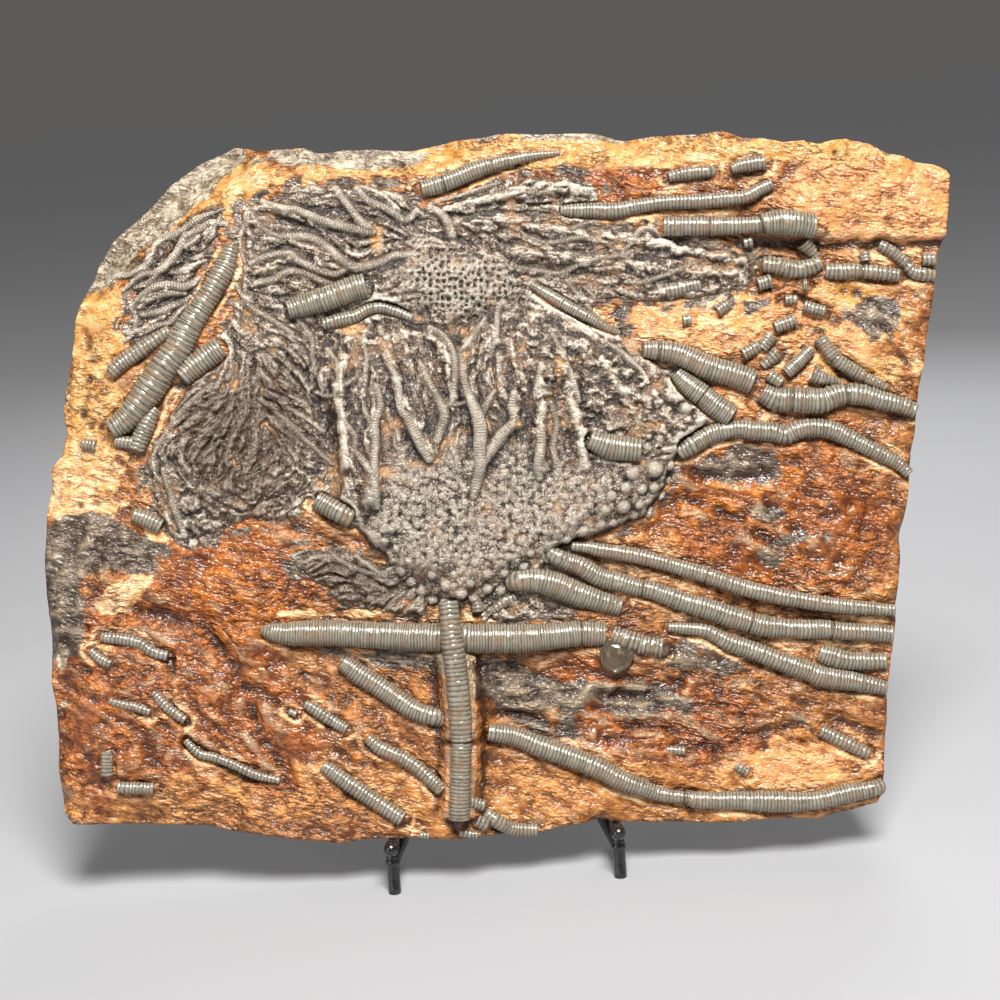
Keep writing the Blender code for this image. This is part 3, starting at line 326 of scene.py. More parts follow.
stems = {
    "main_stem": dict(pitch=4.6, depth=0.072, points=[
        (449, 600, 19), (451, 620, 20.5), (453, 640, 22), (456, 660, 22.5), (460, 700, 23),
        (462, 738, 21.5)],
        heights=[11.5, 12.4, 13.0, 12.7, 12.2, 11.5]),
    "main_stem_lower": dict(pitch=3.5, depth=0.05, node="main_stem", points=[
        (462, 739, 20.5), (461.5, 760, 20.5), (461, 780, 20.5), (460, 800, 21), (460, 816, 21.5)],
        heights=[11.2, 10.8, 10.4, 10.0, 9.5]),
    "cross_stem": dict(pitch=2.9, depth=0.036, breaks=(0.93,), points=[
        (262, 630, 8), (270, 631, 16), (285, 633, 22), (300, 633, 25), (340, 633, 26),
        (400, 636, 28), (440, 637, 29), (480, 638, 30), (520, 638, 30), (560, 635, 26),
        (580, 633, 26), (605, 634, 23)]),
    "cross_stem_end": dict(pitch=4, depth=0.101, rough=0.13, points=[
        (611, 633, 17), (625, 639, 20), (640, 644, 20), (662, 648, 19)]),
    "lower_left_stem": dict(pitch=3.4, depth=0.058, points=[
        (342, 661, 15), (350, 667, 19), (361, 675, 20), (377, 685, 20), (398, 699, 20),
        (418, 711, 19), (442, 717, 18)]),
    "lower_right_stem": dict(pitch=3.4, depth=0.054, breaks=(0.51,), points=[
        (488, 731, 17), (515, 736, 20), (535, 744, 21), (566, 755, 21), (597, 767, 21),
        (620, 779, 20), (641, 787, 18), (661, 794, 15), (688, 797, 12), (693, 799, 17),
        (715, 800, 18), (743, 800, 19), (774, 801, 22), (795, 801, 20), (820, 799, 18),
        (846, 793, 19), (867, 789, 17), (881, 786, 16)]),
    "right_stem_1": dict(pitch=3.5, depth=0.043, breaks=(0.42,), points=[
        (571, 546, 9), (586, 547, 12), (600, 550, 14), (620, 553, 15), (641, 557, 15),
        (661, 562, 15), (682, 568, 16), (703, 574, 17), (723, 581, 17), (744, 588, 17),
        (774, 595, 17), (795, 599, 16), (820, 603, 16), (846, 606, 15), (871, 608, 13),
        (893, 610, 12)]),
    "right_stem_2": dict(pitch=3.5, depth=0.047, breaks=(0.28, 0.6, 0.83), points=[
        (550, 553, 16), (566, 561, 18), (580, 566, 19), (600, 577, 20), (620, 582, 19),
        (635, 587, 18), (651, 590, 18), (668, 596, 19), (688, 603, 20), (709, 609, 21),
        (729, 616, 22), (750, 622, 22), (764, 626, 22), (785, 628, 20), (805, 629, 20),
        (826, 629, 19), (842, 631, 18), (867, 632, 18), (892, 634, 18)]),
    "right_stem_3": dict(pitch=3.3, depth=0.036, points=[
        (512, 581, 20), (535, 580, 24), (556, 585, 26), (576, 593, 25), (597, 600, 21),
        (620, 607, 19)]),
    "right_stem_4": dict(pitch=3.5, depth=0.05, points=[
        (667, 627, 8), (682, 628, 12), (703, 630, 13), (715, 635, 15), (731, 643, 18),
        (752, 650, 19), (770, 657, 19), (791, 665, 20), (811, 672, 21), (821, 676, 22),
        (846, 680, 21), (867, 684, 17), (886, 688, 15)]),
    "right_stem_5": dict(pitch=3.8, depth=0.065, points=[
        (818, 652, 17), (830, 656, 21), (846, 660, 19), (867, 661, 18), (886, 661, 16)]),
    "lower_branch_1": dict(pitch=3.9, depth=0.086, points=[
        (323, 765, 12), (335, 773, 15), (361, 791, 16), (381, 804, 16), (403, 818, 15)]),
    "lower_branch_2": dict(pitch=3.8, depth=0.086, points=[
        (368, 737, 11), (381, 748, 14), (402, 757, 14), (418, 767, 14), (433, 780, 14),
        (443, 789, 13)]),
    "lower_branch_3": dict(pitch=3.8, depth=0.094, rough=0.07, points=[
        (305, 703, 9), (317, 710, 12), (332, 720, 12), (347, 729, 11)]),
    "left_edge_stem": dict(pitch=3.8, depth=0.094, points=[
        (102, 637, 10), (122, 639, 12), (139, 643, 12), (153, 652, 11), (168, 656, 10)]),
    "bottom_edge_stem": dict(pitch=3.8, depth=0.086, points=[
        (487, 813, 13), (500, 822, 15), (515, 829, 14), (538, 830, 12)]),
    "right_bent_stem": dict(pitch=3.5, depth=0.079, breaks=(0.14,), points=[
        (642, 350, 16), (657, 351, 20), (673, 353, 22), (689, 359, 24), (706, 367, 25),
        (722, 372, 25), (739, 377, 26), (753, 383, 25)]),
    "right_wavy_stem_1": dict(pitch=3.8, depth=0.065, rough=0.05, breaks=(0.2, 0.55), points=[
        (761, 392, 19), (774, 399, 23), (786, 400, 27), (804, 401, 27), (821, 401, 25),
        (835, 396, 23), (850, 394, 22), (866, 396, 21), (882, 401, 19), (899, 405, 17),
        (915, 411, 16)]),
    "right_straight_stem": dict(pitch=3, depth=0.036, breaks=(0.5,), points=[
        (675, 373, 14), (687, 385, 21), (702, 396, 23), (716, 407, 24), (731, 417, 23)]),
    "right_wavy_stem_2": dict(pitch=3.4, depth=0.065, rough=0.04, points=[
        (680, 451, 18), (692, 445, 19), (707, 436, 19), (723, 431, 18), (740, 429, 18),
        (756, 431, 20), (772, 432, 20), (785, 435, 19), (797, 430, 19), (813, 428, 19),
        (830, 430, 19), (846, 437, 18), (863, 446, 16), (881, 455, 15), (897, 464, 13),
        (908, 474, 11)]),
    "right_crown_stem": dict(pitch=3.8, depth=0.05, points=[
        (588, 440, 18), (607, 447, 25), (621, 449, 25), (640, 451, 22)]),
    "ledge_stem": dict(pitch=3.4, depth=0.032, breaks=(0.3, 0.64), points=[
        (663, 228, 20), (702, 228, 19), (730, 228, 18), (757, 227, 17), (763, 226, 22),
        (784, 225, 27), (812, 228, 26)]),
    "top_stem": dict(pitch=3.5, depth=0.072, points=[
        (560, 211, 10), (576, 211, 14), (597, 211, 16), (617, 211, 16), (638, 207, 14),
        (663, 204, 14), (702, 203, 15), (730, 201, 14), (745, 199, 13), (757, 192, 13),
        (770, 186, 11)]),
    "top_short_stem_1": dict(pitch=3.6, depth=0.072, points=[(668, 178, 10), (684, 175, 13),
                                                             (712, 173, 12)]),
    "top_short_stem_2": dict(pitch=3.6, depth=0.072, points=[(729, 172, 9), (741, 168, 14),
                                                             (763, 165, 14)]),
    "under_ledge_stem_1": dict(pitch=4.2, depth=0.115, rough=0.12, points=[
        (762, 265, 15), (775, 266, 17), (790, 270, 18), (808, 268, 17), (820, 262, 14)]),
    "under_ledge_stem_2": dict(pitch=4.4, depth=0.115, breaks=(0.5,), points=[
        (824, 271, 14), (836, 272, 16), (852, 271, 16), (862, 272, 14), (876, 273, 15),
        (898, 276, 13)]),
    "under_ledge_stem_3": dict(pitch=4.0, depth=0.058, breaks=(0.52,), points=[
        (879, 245, 11), (890, 251, 12), (903, 261, 12), (912, 271, 13), (919, 274, 14),
        (934, 276, 13)]),
    "short_spindle": dict(pitch=2.8, depth=0.043, points=[(785, 374, 13), (797, 363, 14),
                                                          (811, 349, 11)]),
    "jointed_stem": dict(pitch=3.6, depth=0.05, breaks=(0.3, 0.72), points=[
        (819, 338, 14), (827, 349, 15), (836, 360, 14), (850, 369, 14), (866, 378, 12),
        (876, 383, 10), (886, 388, 8)]),
    "low_right_stem": dict(pitch=4.0, depth=0.086, points=[(820, 730, 13), (844, 742, 14),
                                                           (868, 754, 13)]),
    "upper_stem": dict(pitch=3.3, depth=0.065, breaks=(0.16, 0.52), points=[
        (421, 190, 16), (433, 187, 18), (453, 180, 18), (474, 171, 17), (494, 165, 15),
        (515, 160, 12), (535, 156, 9), (560, 153, 5)]),
    "ribbed_stem": dict(pitch=3.9, depth=0.086, points=[
        (233, 245, 12), (229, 257, 18), (225, 268, 21), (213, 290, 22), (203, 306, 23),
        (197, 316, 25), (190, 327, 27), (178, 350, 29), (165, 368, 30), (152, 388, 30),
        (140, 405, 28), (127, 420, 25), (112, 430, 20)]),
    "left_stem_1": dict(pitch=4.4, depth=0.086, points=[
        (112, 374, 14), (122, 364, 16), (145, 348, 16), (161, 337, 14), (171, 331, 12)]),
    "left_stem_2": dict(pitch=4.0, depth=0.079, points=[
        (182, 378, 21), (194, 367, 24), (209, 356, 24), (222, 347, 22)]),
    "left_stub": dict(pitch=4.0, depth=0.072, points=[(133, 515, 14), (148, 520, 17),
                                                      (162, 527, 16)]),
    "under_crown_stem": dict(pitch=3.8, depth=0.043, points=[(317, 499, 18), (330, 507, 20),
                                                             (351, 518, 20)]),
    "thick_inner_stem": dict(pitch=3.3, depth=0.036, points=[
        (288, 311, 18), (305, 306, 23), (325, 300, 25), (350, 291, 26), (367, 286, 25)]),
    "thin_inner_stem": dict(pitch=3.6, depth=0.072, points=[
        (323, 325, 12), (338, 321, 14), (355, 317, 13), (366, 311, 12), (379, 308, 11),
        (393, 311, 11), (413, 319, 8)]),
    "pale_spindle": dict(pitch=2.7, depth=0.036, points=[
        (531, 285, 8), (551, 297, 13), (566, 306, 13), (586, 317, 12), (601, 325, 10),
        (620, 334, 6)]),
}

# Loose columnals and broken bits that are bedded in the stone, made as one piece
fragmentLook = dict(lift=0.35, pitch=3.8, depth=0.1, rough=0.03)   # lift is in radii
fragments = {
    "edgeTwig": [(157, 408, 10), (150, 420, 16), (143, 435, 18), (137, 450, 17)],
    "edgeTwigSmall": [(83, 444, 11), (97, 446, 13)],
    "edgeTwigShort": [(116, 441, 12), (137, 444, 14)],
    "leftRow1": [(91, 650, 8), (102, 659, 11), (112, 664, 10)],
    "leftRow2": [(110, 700, 7), (122, 704, 9), (137, 707, 9), (151, 712, 8)],
    "leftRow3": [(154, 691, 8), (163, 702, 10), (174, 712, 10), (186, 720, 9)],
    "leftFaint": [(186, 740, 7), (200, 753, 9), (215, 757, 9), (235, 765, 9), (256, 775, 9),
                  (280, 781, 7)],
    "leftSmall": [(108, 750, 12), (108, 775, 13)],
    "leftCorner": [(118, 787, 12), (155, 788, 12)],
    "branchTip": [(289, 711, 6), (297, 714, 7)],
    "shard1": [(784, 300, 10), (797, 300, 10)],
    "shard2": [(803, 306, 12), (824, 312, 12)],
    "shard3": [(774, 328, 13), (795, 320, 13)],
    "shard4": [(761, 349, 13), (771, 335, 15)],
    "shard5": [(742, 355, 14), (759, 346, 13)],
    "shard6": [(762, 367, 9), (777, 353, 15)],
    "shard7": [(768, 375, 13), (781, 384, 13)],
    "horn": [(811, 374, 19), (820, 378, 15), (840, 382, 6)],
    "shard8": [(802, 286, 14), (806, 286, 14)],
    "shard9": [(682, 321, 11), (691, 320, 11)],
    "shard10": [(717, 312, 12), (728, 304, 12)],
    "shard11": [(757, 285, 14), (771, 281, 14)],
    "shard12": [(665, 292, 15), (700, 285, 15)],
    "stripedTwig": [(604, 236, 9), (625, 248, 8)],
    "ledgeTube": [(802, 243, 19), (809, 250, 13), (816, 258, 8)],
    "barrel": [(864, 252, 9), (865, 262, 11)],
    "ledgeShard": [(921, 260, 12), (934, 260, 12)],
    "ledgeRing": [(742, 245, 10), (751, 243, 11)],
    "bottomBit1": [(460, 831, 8), (478, 833, 8)],
    "bottomBit2": [(420, 835, 6), (430, 835, 7)],
    "rightBit": [(735, 765, 10), (748, 773, 10)],
    "rightLump": [(666, 750, 8), (685, 751, 9)],
    "calyxRoot": [(476, 594, 11), (478, 612, 12)],
    "calyxRoot2": [(492, 611, 9), (505, 602, 10), (516, 596, 9)],
    "stemFoot": [(470, 800, 14), (484, 804, 12)],
    "stemFoot2": [(476, 818, 14), (487, 824, 12)],
    "lowerBit": [(426, 776, 10), (441, 789, 12)],
}


def stemAxis(name, piece):               # x, y, width and axis height in mm along a stem
    points = piece["points"]
    if "heights" in piece:
        return curveThrough([(*p, h) for p, h in zip(points, piece["heights"])], 1.0)
    line = curveThrough(points, 1.0)
    radius = line[:, 2] * plate["unit"] / mm / 2
    if "lift" in piece:
        height = sheet.read(stoneBase, line[:, 0], line[:, 1]) + piece["lift"] * radius
    else:
        tops = castHeights(nodeTree(piece.get("node", name)), line[:, 0], line[:, 1])
        known = ~np.isnan(tops)
        away = lengthAlong(line)
        height = np.interp(away, away[known], tops[known]) - radius * 0.94
    window = min(15, len(height) // 2 * 2 - 1)   # points that each height is averaged over
    if window > 2:
        padded = np.pad(height, window // 2, mode="edge")
        height = np.convolve(padded, np.ones(window) / window, mode="valid")
    return np.column_stack([line, height])


stemLines = {name: stemAxis(name, piece) for name, piece in stems.items()}
fragmentLines = {name: stemAxis(name, dict(fragmentLook, points=points))
                 for name, points in fragments.items()}
print("laid out", len(stemLines), "stems and", len(fragmentLines), "fragments")


# Crowns: outlines and domes come from their nodes, and fine relief is worked out here

crownNames = ("main_crown", "upper_calyx", "left_arm_fan", "upper_left_arms", "upper_right_arms",
              "corner_arms", "small_arm_fan")
crownSheet = SheetMap(92, 156, 0.55, 1230, 880)
crownCoarse = SheetMap(84, 148, 4.0, 176, 126)

# Heights are in mm, and cells, reaches and widths in sheet units
crownLook = dict(
    ragged=3.2,                          # how far the borders wander
    groundRise=1.3, sunk=1.2, under=2.2,
    foot=11.0, steeper=5.0,              # width of the shoulder, and how much less at steep places
    steepPlaces=[(350, 500, 60, 60, 0, 1), (420, 580, 60, 40, 0, 1), (640, 500, 60, 50, 0, 0.8)],
    strandCells=(9, 4.2, 1.9), strandReach=13, folds=1.5, cords=0.8, fibres=0.13,
    fanDepth=0.75, featherTurn=0.75, feathers=0.24,
    swell=0.9, creases=2.6, wrinkles=0.7,
    noduleCell=6.0, noduleReach=0.84, noduleRise=1.5,
    pitCell=6.2, pitReach=0.52, pitDepth=1.15,
    grainCell=2.6, grainRise=0.28,
    ballRadius=0.57, ballRise=0.38,      # shares of a large nodule's size
    stemRoom=1.6, stemSink=0.0555,       # room beside a stem, and below its axis for its width
)

# The low fossil ground that joins the crowns: it is shared out to the nearest of them
fossilGround = [
    [(243, 208), (258, 196), (285, 188), (305, 180), (330, 176), (352, 180), (372, 178), (395, 184),
     (415, 196), (428, 203), (445, 197), (480, 186), (505, 174), (540, 168), (575, 171), (600, 184),
     (612, 198), (604, 216), (625, 221), (655, 224), (672, 238), (700, 243), (735, 248), (752, 258),
     (758, 275), (752, 292), (720, 300), (690, 308), (660, 304), (625, 305), (596, 304), (615, 322),
     (640, 338), (652, 352), (684, 375), (705, 395), (730, 418), (715, 440), (690, 452), (678, 468),
     (668, 490), (650, 520), (620, 530), (590, 545), (560, 550), (548, 590), (556, 612), (540, 626),
     (500, 628), (478, 624), (470, 606), (440, 606), (425, 605), (400, 592), (385, 560), (352, 532),
     (335, 513), (310, 502), (300, 520), (270, 528), (240, 524), (215, 540), (195, 560), (172, 550),
     (154, 520), (142, 490), (142, 462), (148, 440), (160, 425), (176, 398), (196, 366), (214, 334),
     (228, 304), (238, 278), (238, 250)],
    [(275, 552), (300, 545), (345, 546), (385, 572), (430, 604), (428, 622), (400, 616), (360, 613),
     (330, 602), (300, 580)],
]

# Lines that the strands follow over the crowns
flowLines = [
    [(436, 206), (500, 192), (560, 185), (598, 190)],
    [(430, 214), (480, 225), (540, 222), (600, 232), (650, 240), (700, 248), (750, 256)],
    [(560, 224), (600, 217), (650, 230)],
    [(455, 236), (520, 250), (580, 256), (640, 262), (700, 272), (750, 276)],
    [(500, 256), (560, 274), (620, 290), (690, 300)],
    [(640, 262), (690, 262), (720, 250), (750, 254)],
    [(263, 203), (300, 213), (343, 228), (372, 233)],
    [(292, 238), (330, 251), (357, 268), (395, 257)],
    [(252, 264), (290, 255), (336, 274)],
    [(258, 283), (290, 274), (332, 285)],
    [(357, 192), (385, 209), (406, 222)],
    [(153, 243), (191, 224), (225, 207)],
    [(105, 281), (138, 270), (178, 253), (212, 222)],
    [(132, 306), (168, 286), (214, 268)],
    [(143, 333), (168, 323), (190, 305)],
    [(214, 385), (184, 411), (166, 437), (153, 461)],
    [(236, 382), (210, 427), (189, 458), (197, 490)],
    [(247, 369), (239, 416), (226, 453), (218, 487)],
    [(252, 400), (262, 430), (270, 470), (255, 510)],
    [(262, 400), (291, 424), (317, 450), (333, 464)],
    [(252, 362), (273, 388), (307, 417), (333, 440)],
    [(236, 283), (255, 309), (286, 333), (312, 356), (317, 393)],
    [(245, 320), (262, 345), (290, 370), (318, 420)],
    [(215, 490), (250, 505), (300, 500), (330, 480)],
    [(160, 460), (170, 500), (180, 530), (188, 548)],
    [(330, 345), (322, 380), (330, 420), (345, 470)],
    [(350, 350), (345, 390), (352, 430), (356, 470)],
    [(386, 359), (399, 383), (404, 406), (425, 448)],
    [(422, 350), (433, 390), (446, 411), (440, 440)],
    [(461, 359), (475, 411), (481, 450), (474, 496)],
    [(378, 388), (378, 432), (376, 478), (380, 507)],
    [(498, 309), (490, 359), (497, 395), (512, 425)],
    [(540, 369), (538, 400), (541, 434), (539, 478)],
    [(545, 330), (575, 345), (605, 362), (640, 370)],
    [(595, 380), (618, 382), (639, 386), (664, 403)],
    [(600, 410), (640, 412), (675, 415)],
    [(613, 433), (639, 438), (679, 423)],
    [(560, 350), (575, 400), (590, 440)],
    [(440, 590), (420, 560), (390, 530), (365, 500)],
    [(500, 575), (560, 530), (620, 490), (670, 465)],
    [(300, 566), (330, 556), (370, 573), (395, 572)],
    [(310, 590), (350, 590), (400, 585)],
    [(380, 612), (405, 592), (425, 572)],
]

# Arms that stand out of the crowns: x, y and width on the sheet
crownArms = dict(
    ringPitch=2.8,
    sunk=0.5,                            # mm
    lines=[
        [(378, 388, 7), (382, 406, 8), (377, 423, 9), (377, 441, 9), (376, 463, 9), (376, 478, 9),
         (379, 507, 6)],
        [(366, 410, 5), (373, 424, 7)],
        [(355, 451, 7), (365, 461, 9), (375, 474, 9)],
        [(386, 357, 6), (392, 368, 7), (399, 383, 7), (402, 408, 9), (410, 420, 11), (416, 432, 12),
         (423, 446, 12), (430, 459, 10)],
        [(422, 367, 6), (433, 390, 9), (445, 413, 11), (442, 430, 10), (437, 442, 9)],
        [(461, 357, 6), (465, 383, 8), (471, 400, 10), (478, 417, 13), (481, 432, 13),
         (481, 447, 14), (481, 461, 14), (478, 478, 12), (474, 496, 8)],
        [(494, 393, 6), (486, 407, 8), (480, 419, 10)],
        [(512, 426, 10), (503, 435, 12), (494, 447, 12), (486, 458, 12), (481, 466, 11)],
        [(541, 428, 8), (540, 449, 10), (538, 466, 9), (539, 478, 8)],
        [(514, 395, 8), (512, 408, 9), (514, 420, 8)],
        [(425, 383, 5), (437, 400, 5), (455, 406, 5), (468, 403, 4)],
        [(396, 434, 4), (397, 447, 5), (405, 450, 5), (411, 443, 4)],
        [(430, 329, 6), (441, 335, 7), (451, 349, 8), (456, 369, 8), (454, 396, 7), (450, 407, 6),
         (437, 400, 5)],
        [(503, 304, 9), (498, 312, 7), (496, 338, 6), (490, 359, 5)],
        [(485, 320, 5), (476, 333, 6), (467, 346, 6), (459, 356, 6)],
        [(541, 366, 6), (538, 382, 7), (535, 398, 6)],
        [(552, 336, 5), (562, 356, 6), (571, 380, 7), (577, 402, 7)],
        [(602, 342, 5), (618, 352, 7), (634, 366, 7), (646, 378, 5)],
        [(558, 470, 7), (552, 448, 8), (556, 426, 7), (550, 404, 6)],
        [(338, 401, 6), (346, 422, 7), (357, 438, 7), (354, 458, 6)],
        [(328, 350, 5), (340, 366, 6), (343, 386, 6), (357, 380, 5)],
        [(318, 393, 5), (330, 397, 5), (344, 396, 5)],
        [(362, 340, 5), (368, 358, 6), (366, 380, 6)],
        [(263, 203, 7), (279, 209, 9), (300, 213, 9), (322, 222, 10), (343, 228, 10),
         (364, 232, 10), (373, 233, 9)],
        [(336, 190, 8), (349, 207, 9), (362, 224, 9), (372, 232, 9)],
        [(357, 190, 7), (370, 203, 9), (385, 209, 9), (395, 215, 9), (406, 221, 9), (417, 212, 8)],
        [(280, 238, 6), (292, 238, 9), (313, 240, 11), (330, 251, 11), (343, 262, 11),
         (357, 268, 11), (378, 264, 10), (395, 257, 10), (413, 257, 8)],
        [(252, 264, 7), (269, 257, 9), (290, 255, 9), (300, 262, 9), (317, 270, 9), (336, 274, 9),
         (349, 267, 8)],
        [(257, 284, 8), (275, 280, 9), (290, 272, 9), (305, 274, 8), (319, 280, 8), (333, 285, 7)],
        [(256, 225, 5), (266, 231, 6), (280, 238, 6)],
        [(430, 208, 8), (440, 214, 10), (448, 224, 12), (452, 236, 11)],
        [(235, 283, 5), (242, 295, 6), (252, 308, 6), (265, 316, 6), (279, 325, 7), (293, 334, 6)],
        [(300, 322, 5), (312, 340, 6), (313, 358, 6), (317, 376, 5)],
        [(245, 262, 5), (240, 240, 6), (250, 218, 6)],
        [(153, 243, 8), (162, 236, 10), (178, 232, 11), (191, 224, 10), (208, 213, 9),
         (225, 206, 7)],
        [(147, 250, 7), (149, 262, 8), (138, 270, 8), (126, 274, 8), (111, 274, 7), (104, 282, 6)],
        [(186, 236, 9), (178, 253, 9), (168, 266, 9), (157, 274, 8), (143, 275, 8), (128, 285, 8),
         (106, 300, 7)],
        [(160, 272, 7), (151, 283, 7), (136, 288, 5)],
        [(186, 237, 8), (199, 231, 8), (212, 223, 8), (229, 225, 6)],
        [(132, 306, 7), (143, 297, 8), (155, 289, 9), (168, 286, 9), (185, 287, 9), (197, 281, 8),
         (208, 274, 8), (215, 267, 6)],
        [(149, 301, 7), (164, 295, 8), (185, 293, 7)],
        [(144, 315, 7), (162, 312, 8), (174, 306, 8), (192, 298, 7)],
        [(141, 334, 6), (155, 327, 8), (168, 323, 8), (181, 312, 8), (189, 306, 6)],
        [(117, 327, 5), (119, 316, 6), (128, 308, 5)],
        [(130, 307, 5), (137, 318, 6), (134, 333, 6), (126, 341, 5)],
        [(431, 203, 4), (456, 197, 5), (479, 190, 5), (500, 183, 4)],
        [(491, 195, 4), (518, 194, 5), (545, 194, 5), (557, 190, 4)],
        [(563, 233, 4), (581, 226, 5), (592, 222, 4)],
        [(525, 237, 4), (545, 244, 5), (563, 242, 6), (581, 239, 6), (599, 242, 5), (616, 251, 4)],
        [(513, 267, 4), (536, 271, 6), (559, 274, 6), (581, 265, 6), (599, 260, 5), (620, 257, 5),
         (632, 252, 5)],
        [(622, 253, 5), (631, 244, 6), (640, 231, 7), (652, 230, 6), (660, 238, 4)],
        [(625, 283, 4), (643, 283, 6), (670, 274, 6), (688, 267, 5), (700, 262, 4)],
        [(566, 281, 4), (575, 292, 5), (586, 300, 5), (604, 301, 4)],
        [(262, 400, 4), (276, 412, 5), (291, 424, 6), (304, 438, 6), (317, 450, 6), (333, 464, 5)],
        [(214, 385, 5), (199, 397, 6), (184, 411, 6), (172, 427, 6), (160, 446, 6), (152, 462, 5)],
        [(300, 566, 4), (315, 558, 6), (330, 557, 6), (350, 565, 6), (370, 573, 6), (398, 572, 5)],
        [(383, 612, 4), (394, 600, 5), (405, 592, 4)],
        [(165, 470, 6), (172, 492, 8), (178, 512, 9), (186, 535, 8)],
    ],
)
largeNodules = [                         # x, y and size
    (487, 573, 10), (504, 572, 9), (515, 575, 9), (487, 588, 10), (474, 597, 11), (500, 590, 10),
    (461, 592, 12), (447, 585, 11), (433, 574, 9), (523, 566, 9), (535, 566, 8), (547, 558, 9),
    (446, 600, 11), (458, 604, 10), (653, 469, 15), (631, 474, 12), (668, 465, 10), (646, 448, 9),
    (658, 440, 9), (640, 489, 10), (624, 488, 10), (610, 496, 10), (652, 487, 11), (622, 506, 13),
    (604, 510, 9), (638, 504, 9), (600, 524, 9), (582, 530, 11), (612, 522, 8), (566, 538, 9),
    (590, 543, 8), (651, 513, 12), (663, 497, 11), (668, 480, 8), (642, 528, 11), (678, 436, 9),
    (689, 430, 8), (596, 488, 8), (684, 410, 12), (576, 552, 8), (410, 560, 8), (398, 548, 8),
    (386, 540, 8), (402, 570, 10), (412, 581, 10), (422, 591, 10), (433, 600, 10), (470, 582, 9),
    (455, 574, 8), (530, 552, 8), (508, 556, 8), (492, 556, 8), (475, 562, 8)]

# Soft ovals, as blobs() takes them
calyxZones = dict(
    nodules=[(440, 535, 62, 52, 20, 1.3), (500, 515, 70, 60, -10, 1.3),
             (560, 500, 50, 45, -25, 1.1), (620, 500, 50, 30, -35, 0.7), (390, 500, 35, 50, 0, 0.9),
             (480, 480, 60, 40, 0, 0.6)],
    honeycomb=[(462, 292, 48, 30, 5, 1.2), (418, 262, 34, 26, 0, 0.6), (500, 280, 34, 20, 30, 0.6)],
    fan=[(235, 440, 62, 75, 0, 1.2), (290, 400, 30, 60, 0, 0.5), (350, 582, 80, 40, 10, 1.0)],
    crumpled=[(625, 400, 75, 55, 10, 1.3), (585, 465, 55, 45, -20, 1.2), (560, 375, 35, 50, 0, 0.8),
              (700, 270, 70, 30, 0, 1.2), (330, 320, 60, 35, 20, 0.7), (190, 520, 50, 50, 0, 1.0),
              (300, 470, 50, 50, 0, 0.7), (400, 350, 70, 30, 0, 0.6), (500, 325, 50, 25, 0, 0.6),
              (520, 610, 50, 20, 0, 0.8)],
)
seamPlaces = [(377, 243, 8, 20, -10, 1.7), (543, 292, 26, 6, 38, 1.6), (603, 331, 44, 4, 35, 1.6),
              (640, 347, 30, 5, 30, 1.3), (463, 362, 4, 16, -8, 1.2), (514, 425, 6, 6, 0, 2.2),
              (527, 337, 4, 22, 20, 1.0), (690, 398, 30, 5, 50, 1.2), (722, 430, 14, 8, 40, 1.4),
              (362, 262, 20, 4, 10, 1.0), (244, 250, 5, 30, 0, 1.0), (415, 318, 40, 4, 0, 0.9),
              (560, 372, 4, 20, 10, 0.9), (344, 330, 30, 6, 0, 0.9)]


def insidePolygon(x, y, outline):        # by counting crossings
    inside = np.zeros(np.shape(x), bool)
    for (x0, y0), (x1, y1) in zip(outline, outline[1:] + outline[:1]):
        if y0 != y1:
            inside ^= ((y0 > y) != (y1 > y)) & (x < (x1 - x0) * (y - y0) / (y1 - y0) + x0)
    return inside


def flowAngles():                        # direction of the strands at each place, in radians
    samples = []
    for line in flowLines:
        curve = curveThrough(line, 6.0)
        step = np.diff(curve, axis=0)
        middles = (curve[1:] + curve[:-1]) / 2
        samples.append(np.column_stack([middles, np.arctan2(step[:, 1], step[:, 0])]))
    samples = np.vstack(samples)
    away = ((crownCoarse.x[..., None] - samples[:, 0]) ** 2
            + (crownCoarse.y[..., None] - samples[:, 1]) ** 2)
    weight = 1 / (away + 16.0) ** 2
    cosine = (weight * np.cos(2 * samples[:, 2])).sum(-1)
    sine = (weight * np.sin(2 * samples[:, 2])).sum(-1)
    size = np.hypot(cosine, sine)
    cosine, sine = [crownCoarse.read(part / size, crownSheet.x, crownSheet.y)
                    for part in (cosine, sine)]
    return np.arctan2(sine, cosine) / 2 + fractal(crownSheet.x, crownSheet.y, 38, 61, 3) * 0.38


def combed(angle, fields, reach):        # drags noise fields along the flow: they become strands
    totals = [field.copy() for field in fields]
    lastRow, lastColumn = crownSheet.rows - 1, crownSheet.columns - 1
    for way in (1, -1):
        v, u = np.indices(angle.shape).astype(float)
        dx, dy = way * np.cos(angle), way * np.sin(angle)
        for _ in range(reach):
            u, v = u + dx * 2, v + dy * 2
            iu = np.clip(np.round(u).astype(int), 0, lastColumn)
            iv = np.clip(np.round(v).astype(int), 0, lastRow)
            for total, field in zip(totals, fields):
                total += field[iv, iu]
            cx, cy = np.cos(angle[iv, iu]), np.sin(angle[iv, iu])
            sign = np.where(cx * dx + cy * dy < 0, -1.0, 1.0)
            dx, dy = cx * sign, cy * sign
    results = [total - softened(total, 24) for total in totals]
    return [result / result.std() for result in results]


